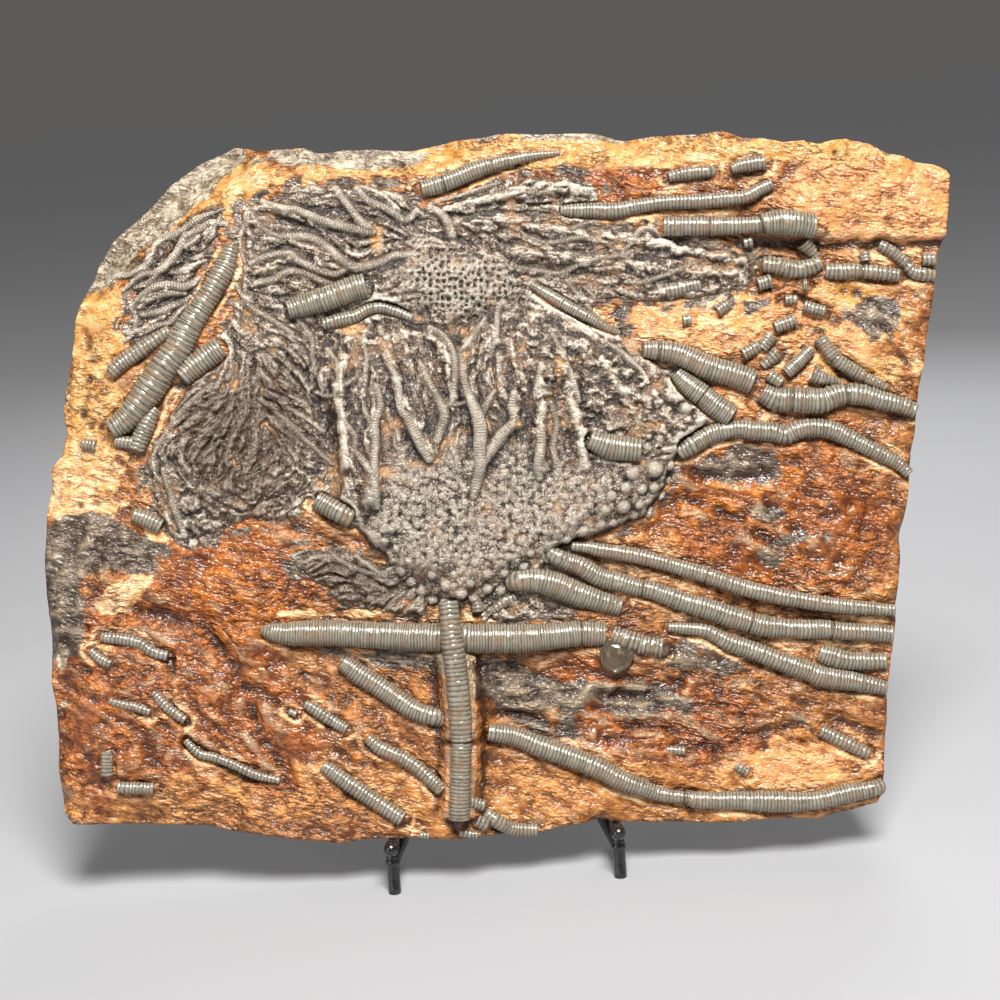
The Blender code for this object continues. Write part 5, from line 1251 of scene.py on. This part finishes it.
def columnalTube(name, line, look, seed):   # a stem of columnals, from x, y, width and height
    chance = np.random.default_rng(seed)
    around = stemLook["around"]
    along = lengthAlong(line)
    count = max(2, int(round(along[-1] / look["pitch"])))
    lengths = 1 + stemLook["uneven"] * (chance.random(count) - 0.5) * 2
    marks = np.concatenate([[0], np.cumsum(lengths)]) / lengths.sum() * along[-1]
    size = 1 + stemLook["sizes"] * (chance.random(count) - 0.5) * 2
    size += stemLook["step"] * (np.arange(count) % 2)
    tone = chance.random(count)
    rows = [(0.0, share, 0, crest) for share, crest in stemLook["ends"]]   # place, size, number, crest
    for number in range(count):
        start, length = marks[number], marks[number + 1] - marks[number]
        rows.append((start, 1 - look["depth"] * (0.5 + 0.45 * chance.random()), number, 0.0))
        rows += [(start + length * place, size[number] * share, number, crest)
                 for place, share, crest in stemLook["swell"]]
    rows += [(along[-1], share, count - 1, crest) for share, crest in stemLook["farEnds"]]
    where, sizes, numbers, crests = np.array(rows).T
    capped = sizes < 0.7
    for share in look.get("breaks", ()):
        gap = ease(1 - np.abs(where - share * along[-1]) / stemLook["breakWidth"])
        sizes *= 1 - stemLook["breakDepth"] * gap
        crests *= 1 - 0.9 * gap

    x, y, width, height = [np.interp(where, along, line[:, axis]) for axis in range(4)]
    centres = onPlate(x, y, height)
    ahead = unitRows(np.gradient(onPlate(line[:, 0], line[:, 1], line[:, 3]), axis=0))
    tangent = unitRows(np.column_stack([np.interp(where, along, ahead[:, axis]) for axis in range(3)]))
    sideways = unitRows(np.cross(tangent, outAxis))
    upwards = np.cross(sideways, tangent)
    base = width * plate["unit"] / 2
    centres = centres - tangent * (base * stemLook["cap"] * capped * np.where(where < 1, -1, 1))[:, None]
    spokes = np.arange(around) / around * 2 * math.pi
    u, v = np.meshgrid(np.cos(spokes) * 3 + np.sin(spokes) * 7, where / 2.2)
    lumps = fractal(u, v, 1.4, seed % 97 + 500, 3)
    radii = (base * sizes)[:, None] * (1 + look.get("rough", stemLook["rough"]) * lumps)
    masks = dict(
        crest=np.clip(crests[:, None] + 0.25 * lumps, 0, 1),
        band=np.repeat(tone[numbers.astype(int)][:, None], around, 1),
        # painted shade: darker round the sides, most on the side that faces into the stone, lightest where
        # the stem faces out
        flank=np.repeat((0.5 - 0.5 * np.sin(spokes))[None], len(rows), 0),
        worn=np.clip(0.5 + 0.8 * fractal(u, v / 3, 1.6, seed % 89 + 540, 3), 0, 1),
    )
    return rollUp(name, centres, sideways, upwards, radii, masks, stemLook["flatten"])


def makeStems(material):
    waiting = {}
    for seed, (name, piece) in enumerate(stems.items()):
        mesh = columnalTube(name, stemLines[name], piece, 600 + seed)
        waiting.setdefault(piece.get("node", name), []).append(mesh)
    for node, meshes in waiting.items():
        made = pieceName(node, "Columnals")
        newPiece(made, written(opened(*meshes), made), material, "stem_calcite", node)
    small = [columnalTube(name, line, fragmentLook, 700 + seed)
             for seed, (name, line) in enumerate(fragmentLines.items())]
    newPiece("smallFragments", written(opened(*small), "smallFragments"), material, "stem_calcite")


# Loose plate of a calyx: a low six-sided plate with a raised rim and ribs

loosePlate = dict(
    outline=[(599, 648), (608, 638), (632, 640), (634, 654), (629, 666), (615, 674), (601, 664)],
    centre=(616, 656), rise=3.6, sink=4.0,
    insets=((1.6, 0.0), (0.8, -0.8), (2.2, 0.7)),   # width and depth of each step, in mm
    bevel=0.5, roughness=0.22,
)


def makeLoosePlate(material):
    look = loosePlate
    shape = bmesh.new()
    ground = float(sheet.read(stoneBase, *look["centre"]))
    level = ground + look["rise"]
    face = shape.faces.new([shape.verts.new(onPlate(x, y, level)) for x, y in look["outline"]])
    foot = bmesh.ops.extrude_face_region(shape, geom=[face])["geom"]
    bmesh.ops.translate(shape, verts=[v for v in foot if isinstance(v, bmesh.types.BMVert)],
                        vec=Vector(-outAxis * (look["rise"] + look["sink"]) * mm))
    top = max(shape.faces, key=lambda f: f.calc_center_median().dot(Vector(outAxis)))
    for width, depth in look["insets"]:
        bmesh.ops.inset_region(shape, faces=[top], thickness=width * mm, depth=depth * mm)
    bmesh.ops.bevel(shape, geom=shape.edges[:], offset=look["bevel"] * mm, offset_type="OFFSET",
                    affect="EDGES", segments=2, profile=0.5, material=-1)
    bmesh.ops.subdivide_edges(shape, edges=shape.edges, cuts=2, use_grid_fill=True)
    bmesh.ops.triangulate(shape, faces=shape.faces)
    mesh = facedOut(written(shape, "looseCalyxPlate"))
    places = readPoints(mesh)
    high = (places - plateOrigin) @ outAxis / mm
    u, v = places[:, 0] / mm, places[:, 2] / mm
    rough = look["roughness"] * mm * fractal(u, v, 1.6, 801, 3)
    writePoints(mesh, places + outAxis * rough[:, None])
    rim = ease(high, ground + 1.5, level)
    spots = smoothNoise(u, v, 3.0, 811)
    # the flank mask here is painted shade over the plate, less on its raised top, which gets a painted
    # highlight
    masks = dict(crest=0.15 + 0.45 * spots, band=spots, flank=1 - 0.3 * rim, worn=0.5 * spots)
    for key, values in masks.items():
        writeMask(mesh, key, values)
    return newPiece("looseCalyxPlate", mesh, material, "stem_calcite", "loose_calyx_plate")


# Easel: round bars with rounded bends, glossy black. Sizes are in mm, places in metres.

easel = dict(
    radius=2.8, around=20, bend=7.0, tipBall=3.3, legBall=3.3, braceBall=3.2, propBall=3.4,
    armReach=7.0, legSetBack=4.0, gap=0.35, flat=0.3,
    uprightTop=0.030, archHalf=0.026, propFootY=0.0894, propSpread=0.008, legSlope=0.0045,
    braceInward=0.0045,
    hang=0.12, braceAt=0.7,              # shares of the way down an upright, and up a leg
)


def roundedPath(points, bend):           # rounds the corners of a bar's line
    points = [np.array(p, float) for p in points]
    line = [points[0]]
    for before, corner, after in zip(points, points[1:], points[2:]):
        ways = [before - corner, after - corner]
        lengths = [np.linalg.norm(way) for way in ways]
        reach = min(bend * mm, *(length * 0.45 for length in lengths))
        start, end = [corner + way / length * reach for way, length in zip(ways, lengths)]
        for t in np.linspace(0, 1, 9):
            line.append((1 - t) ** 2 * start + 2 * t * (1 - t) * corner + t * t * end)
    line.append(points[-1])
    return line


def barMesh(name, points, bend, balls):  # a bar with balls, given as places and radii in mm
    path = roundedPath(points, bend)
    line = [path[0]]
    for a, b in zip(path, path[1:]):
        parts = max(1, int(np.linalg.norm(b - a) / 0.004))
        line += [a + (b - a) * (k + 1) / parts for k in range(parts)]
    line = np.array(line)
    ahead = unitRows(np.gradient(line, axis=0))
    sideways = np.zeros_like(line)
    side = np.cross(ahead[0], (0.31, 0.2, 0.93))
    for number, direction in enumerate(ahead):   # carried along without twist
        side = side - direction * (side @ direction)
        side /= np.linalg.norm(side)
        sideways[number] = side
    radii = np.full((len(line), easel["around"]), easel["radius"] * mm)
    mesh = rollUp(name, line, sideways, np.cross(sideways, ahead), radii, {})
    shape = opened(mesh)
    for centre, radius in balls:
        made = bmesh.ops.create_uvsphere(shape, u_segments=24, v_segments=14, radius=radius * mm)
        bmesh.ops.translate(shape, verts=made["verts"], vec=Vector(centre))
    for vert in shape.verts:
        vert.co.z = max(vert.co.z, 0.0)  # the floor flattens what stands on it
    return written(shape, mesh)


def makeEasel(material):
    radius = easel["radius"] * mm
    armUp = slab["seat"] - easel["gap"] * mm - radius
    behind = -(plate["thickness"] + easel["gap"]) * mm - radius
    middle = np.mean(slab["arms"])
    frameLine, prop, frameBalls, beads = [], [], [], []
    for sideName, across, inward in zip(("left", "right"), slab["arms"], (1, -1)):
        tip = facePoint(across, armUp, easel["armReach"] * mm)
        corner = facePoint(across, armUp, behind)
        top = facePoint(middle - inward * easel["archHalf"], easel["uprightTop"], behind)
        legTop = facePoint(across, armUp, (easel["armReach"] - easel["legSetBack"]) * mm)
        legFoot = np.array((legTop[0], legTop[1] - easel["legSlope"], -radius))
        braceStart = legFoot + (legTop - legFoot) * easel["braceAt"]
        braceEnd = facePoint(across + inward * easel["braceInward"], armUp, -plate["thickness"] * mm)
        hang = top + (corner - top) * easel["hang"]
        foot = np.array((hang[0] - inward * easel["propSpread"], easel["propFootY"],
                         radius - easel["flat"] * mm))
        frameLine += [tip, corner, top - upAxis * radius][::inward]
        prop += [hang, foot][::inward]
        frameBalls.append((tip + outAxis * easel["tipBall"] * mm / 2, easel["tipBall"]))
        beads.append((hang, easel["propBall"]))
        leg = barMesh(sideName + "Leg", [legTop, legFoot], 0, [(legTop, easel["legBall"])])
        brace = barMesh(sideName + "Brace", [braceStart, braceEnd], 0, [(braceStart, easel["braceBall"])])
        newPiece(sideName + "FrontLeg", written(opened(leg, brace), sideName + "FrontLeg"), material,
                 "black_steel", sideName + "_front_leg", sideName + "_brace")
    newPiece("easelFrame", barMesh("easelFrame", frameLine, easel["bend"], frameBalls), material,
             "black_steel", "left_arm", "right_arm", "left_upright", "right_upright", "easel_arch")
    newPiece("rearProp", barMesh("rearProp", prop, easel["bend"], beads), material,
             "black_steel", "left_prop_leg", "right_prop_leg", "prop_floor_bar")


# Materials

def colour(red, green, blue):            # display values from 0 to 255 to scene-linear
    shares = [value / 255 for value in (red, green, blue)]
    return tuple(((c + 0.055) / 1.055) ** 2.4 if c > 0.04 else c / 12.92 for c in shares) + (1.0,)


def plug(tree, node, values):            # sets or links a node's inputs
    for key, value in values.items():
        if isinstance(value, bpy.types.NodeSocket):
            tree.links.new(value, node.inputs[key])
        else:
            node.inputs[key].default_value = value


class Finish:                            # a node tree, with short ways to add to it
    def __init__(self, tree, where=None):
        self.tree = tree
        self.where = where or self.add("TexCoord", {}, "Object")

    def add(self, kind, values, output=0, **settings):
        made = self.tree.nodes.new("ShaderNode" + kind)
        for key, value in settings.items():
            setattr(made, key, value)
        plug(self.tree, made, values)
        return made.outputs[output]

    def noise(self, scale, detail=3.0, roughness=0.5, where=None):
        return self.add("TexNoise", {"Vector": where or self.where, "Scale": scale, "Detail": detail,
                                     "Roughness": roughness}, "Fac")

    def creases(self, scale, detail, where=None):
        return self.add("Group", {"Vector": where or self.where, "Scale": scale, "Detail": detail},
                        "Swell", node_tree=creasesGroup)

    def drawnOut(self, angle, stretch):  # coordinates for a pattern drawn out down to the right
        return self.add("Mapping", {"Vector": self.where, "Rotation": (0.0, math.radians(angle), 0.0),
                                    "Scale": (stretch, 1.0, 1.0)}, "Vector", vector_type="TEXTURE")

    def mask(self, name):
        return self.add("Attribute", {}, "Fac", attribute_name=name)

    def ranged(self, value, low, high, toLow=0.0, toHigh=1.0):
        return self.add("MapRange", {"Value": value, "From Min": low, "From Max": high,
                                     "To Min": toLow, "To Max": toHigh}, "Result")

    def calc(self, operation, *values):
        return self.add("Math", dict(enumerate(values)), operation=operation)

    def times(self, first, second):
        return self.calc("MULTIPLY", first, second)

    def plus(self, first, factor, second):   # first times a factor, and second
        return self.calc("MULTIPLY_ADD", first, factor, second)

    def mix(self, share, first, second):
        return self.add("Mix", {0: share, 6: first, 7: second}, 2, data_type="RGBA")

    def bump(self, height, distance):
        return self.add("Bump", {"Height": height, "Distance": distance, "Strength": 1.0}, "Normal")


def makeCreases():                       # 0 in thin creases, about 1 on the swells between them
    group = bpy.data.node_groups.new("creases", "ShaderNodeTree")
    for name, kind in (("Vector", "Vector"), ("Scale", "Float"), ("Detail", "Float")):
        group.interface.new_socket(name=name, in_out="INPUT", socket_type="NodeSocket" + kind)
    group.interface.new_socket(name="Swell", in_out="OUTPUT", socket_type="NodeSocketFloat")
    start, end = [group.nodes.new("NodeGroup" + side).name for side in ("Input", "Output")]
    ins = group.nodes[start].outputs
    finish = Finish(group, ins["Vector"])
    away = finish.calc("SUBTRACT", finish.noise(ins["Scale"], ins["Detail"], 0.55), 0.5)
    plug(group, group.nodes[end], {"Swell": finish.times(finish.calc("ABSOLUTE", away), 5.0)})
    return group


creasesGroup = makeCreases()


def newMaterial(name, colours):
    made = bpy.data.materials.new(name)
    made.use_nodes = True
    tones = {key: colour(*value) for key, value in colours.items()}
    return made, Finish(made.node_tree), tones


def finished(made, values):              # sets the material's shader
    plug(made.node_tree, made.node_tree.nodes["Principled BSDF"], values)
    return made


limestone = dict(
    colours=dict(
        base=(194, 128, 70), baseDark=(90, 46, 14), ochre=(184, 124, 54), ochreLight=(212, 168, 112),
        rust=(180, 104, 44), rustDark=(80, 34, 6), orange=(196, 116, 40), orangeDark=(108, 48, 6),
        peach=(205, 137, 98), cream=(224, 194, 154), grey=(44, 33, 24), greyLight=(136, 120, 102),
        ash=(108, 92, 74), ashLight=(206, 192, 168), tan=(220, 154, 88), tanDark=(134, 78, 32),
        # the last colour is painted shade, for the hollows and the creases
        side=(158, 126, 94), sideDark=(98, 76, 58), hollow=(42, 17, 3)),
    layers=(("tan", "tanDark", "tan"), ("rust", "rustDark", "rust"), ("ochre", "ochre", "ochreLight"),
            ("orange", "orangeDark", "orange"), ("peach", "tan", "peach"), ("grey", "grey", "greyLight"),
            ("ash", "ash", "ashLight"), ("cream", "tan", "cream")),   # mask, dark and light
    broad=38.0, medium=130.0, fine=900.0, creases=150.0, wrinkles=420.0,
    slant=14.0, stretch=2.0, bump=0.0015, wet=-0.1, side=0.4,
)


def stoneMaterial():
    look = limestone
    made, f, c = newMaterial("limestone", look["colours"])
    streaked = f.drawnOut(look["slant"], look["stretch"])
    broad = f.noise(look["broad"], 5.0, 0.6)
    medium = f.noise(look["medium"], 4.0, 0.6)
    fine = f.noise(look["fine"], 3.0, 0.6, streaked)
    creases = f.creases(look["creases"], 3.0, streaked)
    wrinkles = f.creases(look["wrinkles"], 2.5, streaked)
    swell = f.plus(wrinkles, 0.45, f.times(creases, 0.55))
    crumple = f.ranged(f.plus(medium, 0.4, f.times(broad, 0.6)), 0.4, 0.58, 0.3, 1.1)
    # partly painted light: paint follows the medium noise, a real change of tone, and the bump's crease
    # pattern, so each layer is painted darker in the creases and lighter on the swells
    paint = f.ranged(f.plus(medium, 1.4, f.times(swell, 0.5)), 0.6, 1.25)
    tone = f.mix(paint, c["baseDark"], c["base"])
    for mask, dark, light in look["layers"]:
        edge = f.plus(medium, 0.7, f.calc("SUBTRACT", f.mask(mask), 0.35))
        tone = f.mix(f.ranged(edge, 0.25, 0.6), tone, f.mix(paint, c[dark], c[light]))
    sideTone = f.mix(f.ranged(medium, 0.38, 0.62), c["sideDark"], c["side"])
    sideTone = f.mix(f.ranged(fine, 0.5, 0.7), sideTone, c["greyLight"])
    tone = f.mix(f.mask("side"), tone, sideTone)
    # painted shade: dark in the relief's hollows and in the bump's creases; painted highlight: cream on
    # the raised parts
    hollow = f.mask("hollow")
    tone = f.mix(f.ranged(hollow, 0.47, 0.1, 0.0, 0.9), tone, c["hollow"])
    tone = f.mix(f.times(f.ranged(swell, 0.32, 0.04, 0.0, 0.75), crumple), tone, c["hollow"])
    tone = f.mix(f.ranged(hollow, 0.6, 1.0, 0.0, 0.35), tone, c["cream"])
    gloss = f.plus(f.mask("wet"), look["wet"], f.ranged(broad, 0.3, 0.7, 0.2, 0.34))
    gloss = f.plus(f.mask("side"), look["side"], gloss)
    height = f.times(f.plus(fine, 0.22, f.plus(wrinkles, 0.35, creases)), crumple)
    return finished(made, {"Base Color": tone, "Roughness": gloss, "Specular IOR Level": 0.5,
                           "Normal": f.bump(height, look["bump"])})


crownCalcite = dict(
    # deep, low, mid and high run from painted shade in the creases to painted highlight on the crests;
    # deep also marks the arms' ring joints, and pale is the painted highlight on the nodules
    colours=dict(deep=(30, 18, 9), low=(70, 53, 38), mid=(120, 105, 88), high=(200, 190, 174),
                 warm=(152, 110, 72), arm=(138, 127, 112), pale=(172, 163, 148), seam=(204, 156, 104)),
    medium=210.0, fine=1100.0, wrinkles=640.0, bump=0.0004,
    roughness=(0.1, 0.24), ior=1.6, specular=0.6,
)


def crownMaterial():
    look = crownCalcite
    made, f, c = newMaterial("crownCalcite", look["colours"])
    medium = f.noise(look["medium"], 4.0, 0.6)
    fine = f.noise(look["fine"], 3.0, 0.6)
    wrinkles = f.creases(look["wrinkles"], 2.5)
    tint, arm = f.mask("tint"), f.mask("arm")
    # painted shade and painted highlight: deep in the creases and high on the crests, by the relief's rise
    # and the wrinkle pattern
    rise = f.calc("ADD", f.mask("rise"), f.plus(wrinkles, 0.9, -0.45))
    tone = f.mix(f.ranged(rise, -0.75, -0.25), c["deep"], c["low"])
    tone = f.mix(f.ranged(rise, -0.35, 0.15), tone, c["mid"])
    tone = f.mix(f.ranged(rise, 0.1, 0.75), tone, c["high"])
    stain = f.times(f.ranged(tint, 0.05, 0.6), f.ranged(medium, 0.45, 0.6))
    tone = f.mix(f.times(stain, 0.5), tone, c["warm"])
    tone = f.mix(f.times(f.mask("fan"), 0.78), tone, c["low"])
    # painted highlight: the nodules' raised tops are paler, and their gaps keep the painted shade
    tone = f.mix(f.times(f.mask("nodules"), f.ranged(rise, -0.6, 0.4, 0.0, 0.75)), tone, c["pale"])
    tone = f.mix(f.times(arm, f.ranged(medium, 0.3, 0.6, 0.3, 0.6)), tone, c["arm"])
    turns = f.calc("SINE", f.times(f.mask("armRun"), math.tau / crownArms["ringPitch"]))
    rings = f.times(f.ranged(turns, -1.0, -0.1, 1.0, 0.0), arm)
    rings = f.times(rings, f.ranged(medium, 0.4, 0.56, 0.1, 1.0))
    tone = f.mix(f.times(rings, 0.35), tone, c["deep"])
    filled = f.plus(arm, -0.9, f.plus(rise, -0.5, tint))
    tone = f.mix(f.ranged(filled, 0.95, 1.5, 0.0, 0.75), tone, c["seam"])
    height = f.plus(rings, -1.1, f.plus(fine, 0.4, wrinkles))
    return finished(made, {"Base Color": tone, "Roughness": f.ranged(medium, 0.3, 0.7, *look["roughness"]),
                           "IOR": look["ior"], "Specular IOR Level": look["specular"],
                           "Normal": f.bump(height, look["bump"])})


stemCalcite = dict(
    # side is a darker real tone for some columnals, and also painted shade on the stems' sides
    colours=dict(groove=(38, 29, 19), side=(72, 58, 41), body=(112, 105, 91), crest=(166, 159, 145),
                 stain=(124, 94, 64), cream=(196, 182, 152)),
    medium=190.0, fine=900.0, bump=0.0002, roughness=(0.12, 0.24), ior=1.6, specular=0.6,
)


def stemMaterial():
    look = stemCalcite
    made, f, c = newMaterial("stemCalcite", look["colours"])
    medium = f.noise(look["medium"], 4.0, 0.6)
    fine = f.noise(look["fine"], 3.0, 0.6)
    crest = f.calc("ADD", f.mask("crest"), f.plus(fine, 0.5, -0.25))
    tone = c["body"]
    # the flank mask paints shade on the stems' sides with the side colour; band, worn and medium give real
    # tone
    for value, low, high, most, above in (
            (f.mask("band"), 0.0, 1.0, 0.4, "side"), (crest, 0.6, 1.1, 0.5, "crest"),
            (f.mask("flank"), 0.3, 0.75, 0.85, "side"), (crest, 0.5, 0.0, 0.85, "groove"),
            (f.mask("worn"), 0.65, 0.95, 0.4, "stain"), (medium, 0.62, 0.74, 0.35, "cream")):
        tone = f.mix(f.ranged(value, low, high, 0.0, most), tone, c[above])
    return finished(made, {"Base Color": tone, "Roughness": f.ranged(medium, 0.3, 0.7, *look["roughness"]),
                           "IOR": look["ior"], "Specular IOR Level": look["specular"],
                           "Normal": f.bump(f.plus(fine, 0.6, medium), look["bump"])})


blackSteel = dict(
    colours=dict(steel=(14, 14, 15), worn=(30, 29, 29)),
    wear=240.0, swells=518.0, grit=2660.0, pits=1400.0, bump=0.00012, roughness=(0.16, 0.34),
)


def steelMaterial():
    look = blackSteel
    made, f, c = newMaterial("blackSteel", look["colours"])
    wear = f.noise(look["wear"], 4.0, 0.6)
    pits = f.times(f.add("TexVoronoi", {"Vector": f.where, "Scale": look["pits"]}, "Distance"), 0.1)
    height = f.calc("ADD", f.times(f.noise(look["swells"], 4.0, 0.5), 1.1),
                    f.times(f.noise(look["grit"], 2.0, 0.5), 0.45))
    return finished(made, {"Base Color": f.mix(f.ranged(wear, 0.4, 0.7), c["steel"], c["worn"]),
                           "Roughness": f.ranged(wear, 0.3, 0.7, *look["roughness"]),
                           "Specular IOR Level": 0.6, "Coat Weight": 0.4, "Coat Roughness": 0.12,
                           "Normal": f.bump(f.calc("SUBTRACT", height, pits), look["bump"])})


# The object

makeSlab(stoneMaterial())
print("made the slab")
crownFinish = crownMaterial()
for number, name in enumerate(crownNames):
    makeCrown(name, number, crownFinish)
print("made the crowns")
stemFinish = stemMaterial()
makeStems(stemFinish)
makeLoosePlate(stemFinish)
print("made the stems")
makeEasel(steelMaterial())
print("made the easel")


# Floor, light and camera

studio = dict(
    floorRadius=40.0, floor=dict(pale=(158, 159, 162), paler=(170, 171, 174)), clouds=3.0, cloudShare=0.06,
    floorRoughness=0.75,
    world=(0.84, 0.82, 0.8), worldStrength=0.14,
    backdrop=0.126,                      # as bright as the floor's far end
    sun=0.6, sunTurn=(28.0, 0.0, 12.0), sunWidth=25,
    lights=(                             # name, place, size, watts, tint
        ("key", (0.17, -1.15, 1.7), 0.85, 80.0, (1.0, 0.98, 0.95)),
        ("fill", (-1.0, -0.9, 0.4), 0.9, 4.0, (1.0, 0.97, 0.93)),
        ("rear", (0.3, 1.1, 0.9), 0.9, 8.0, (1.0, 1.0, 1.0)),
    ),
    lens=70.0, sensor=36.0, distance=0.864,
)


def placed(name, data):                  # a studio object in the scene
    made = bpy.data.objects.new(name, data)
    bpy.context.scene.collection.objects.link(made)
    return made


def makeFloor():
    shape = bmesh.new()
    bmesh.ops.create_circle(shape, cap_ends=True, segments=96, radius=studio["floorRadius"])
    mesh = written(shape, "studioFloor")
    made, f, c = newMaterial("paleFloor", studio["floor"])
    clouds = f.ranged(f.noise(studio["clouds"], 2.0, 0.5), 0.3, 0.7, 0.0, studio["cloudShare"])
    tone = f.mix(clouds, c["pale"], c["paler"])
    mesh.materials.append(finished(made, {"Base Color": tone, "Roughness": studio["floorRoughness"]}))
    floor = placed("studioFloor", mesh)


def makeLights():
    world = bpy.data.worlds.new("studioWorld")
    world.use_nodes = True
    f = Finish(world.node_tree)
    strength = f.ranged(f.add("LightPath", {}, "Is Camera Ray"), 0.0, 1.0,
                        studio["worldStrength"], studio["backdrop"])
    plug(world.node_tree, world.node_tree.nodes["Background"],
         {"Color": (*studio["world"], 1), "Strength": strength})
    bpy.context.scene.world = world
    sun = bpy.data.lights.new("sun", "SUN")
    sun.energy, sun.angle = studio["sun"], math.radians(studio["sunWidth"])
    placed("sun", sun).rotation_euler = [math.radians(angle) for angle in studio["sunTurn"]]
    for name, place, size, watts, tint in studio["lights"]:
        lamp = bpy.data.lights.new(name, "AREA")
        lamp.shape = "DISK"
        lamp.size, lamp.energy, lamp.color = size, watts, tint
        made = placed(name, lamp)
        made.location = place
        made.rotation_euler = Vector(plateOrigin - place).to_track_quat("-Z", "Y").to_euler()


def makeCamera():
    lens = bpy.data.cameras.new("studioCamera")
    lens.lens, lens.sensor_width = studio["lens"], studio["sensor"]
    camera = placed("studioCamera", lens)
    right = math.cos(turn) * acrossAxis - math.sin(turn) * upAxis
    up = math.sin(turn) * acrossAxis + math.cos(turn) * upAxis
    place = plateOrigin + outAxis * studio["distance"]
    columns = [(*axis, 0.0) for axis in (right, up, outAxis)] + [(*place, 1.0)]
    camera.matrix_world = Matrix(columns).transposed()
    bpy.context.scene.camera = camera


makeFloor()
makeLights()
makeCamera()
bpy.context.scene.view_settings.view_transform = "Standard"
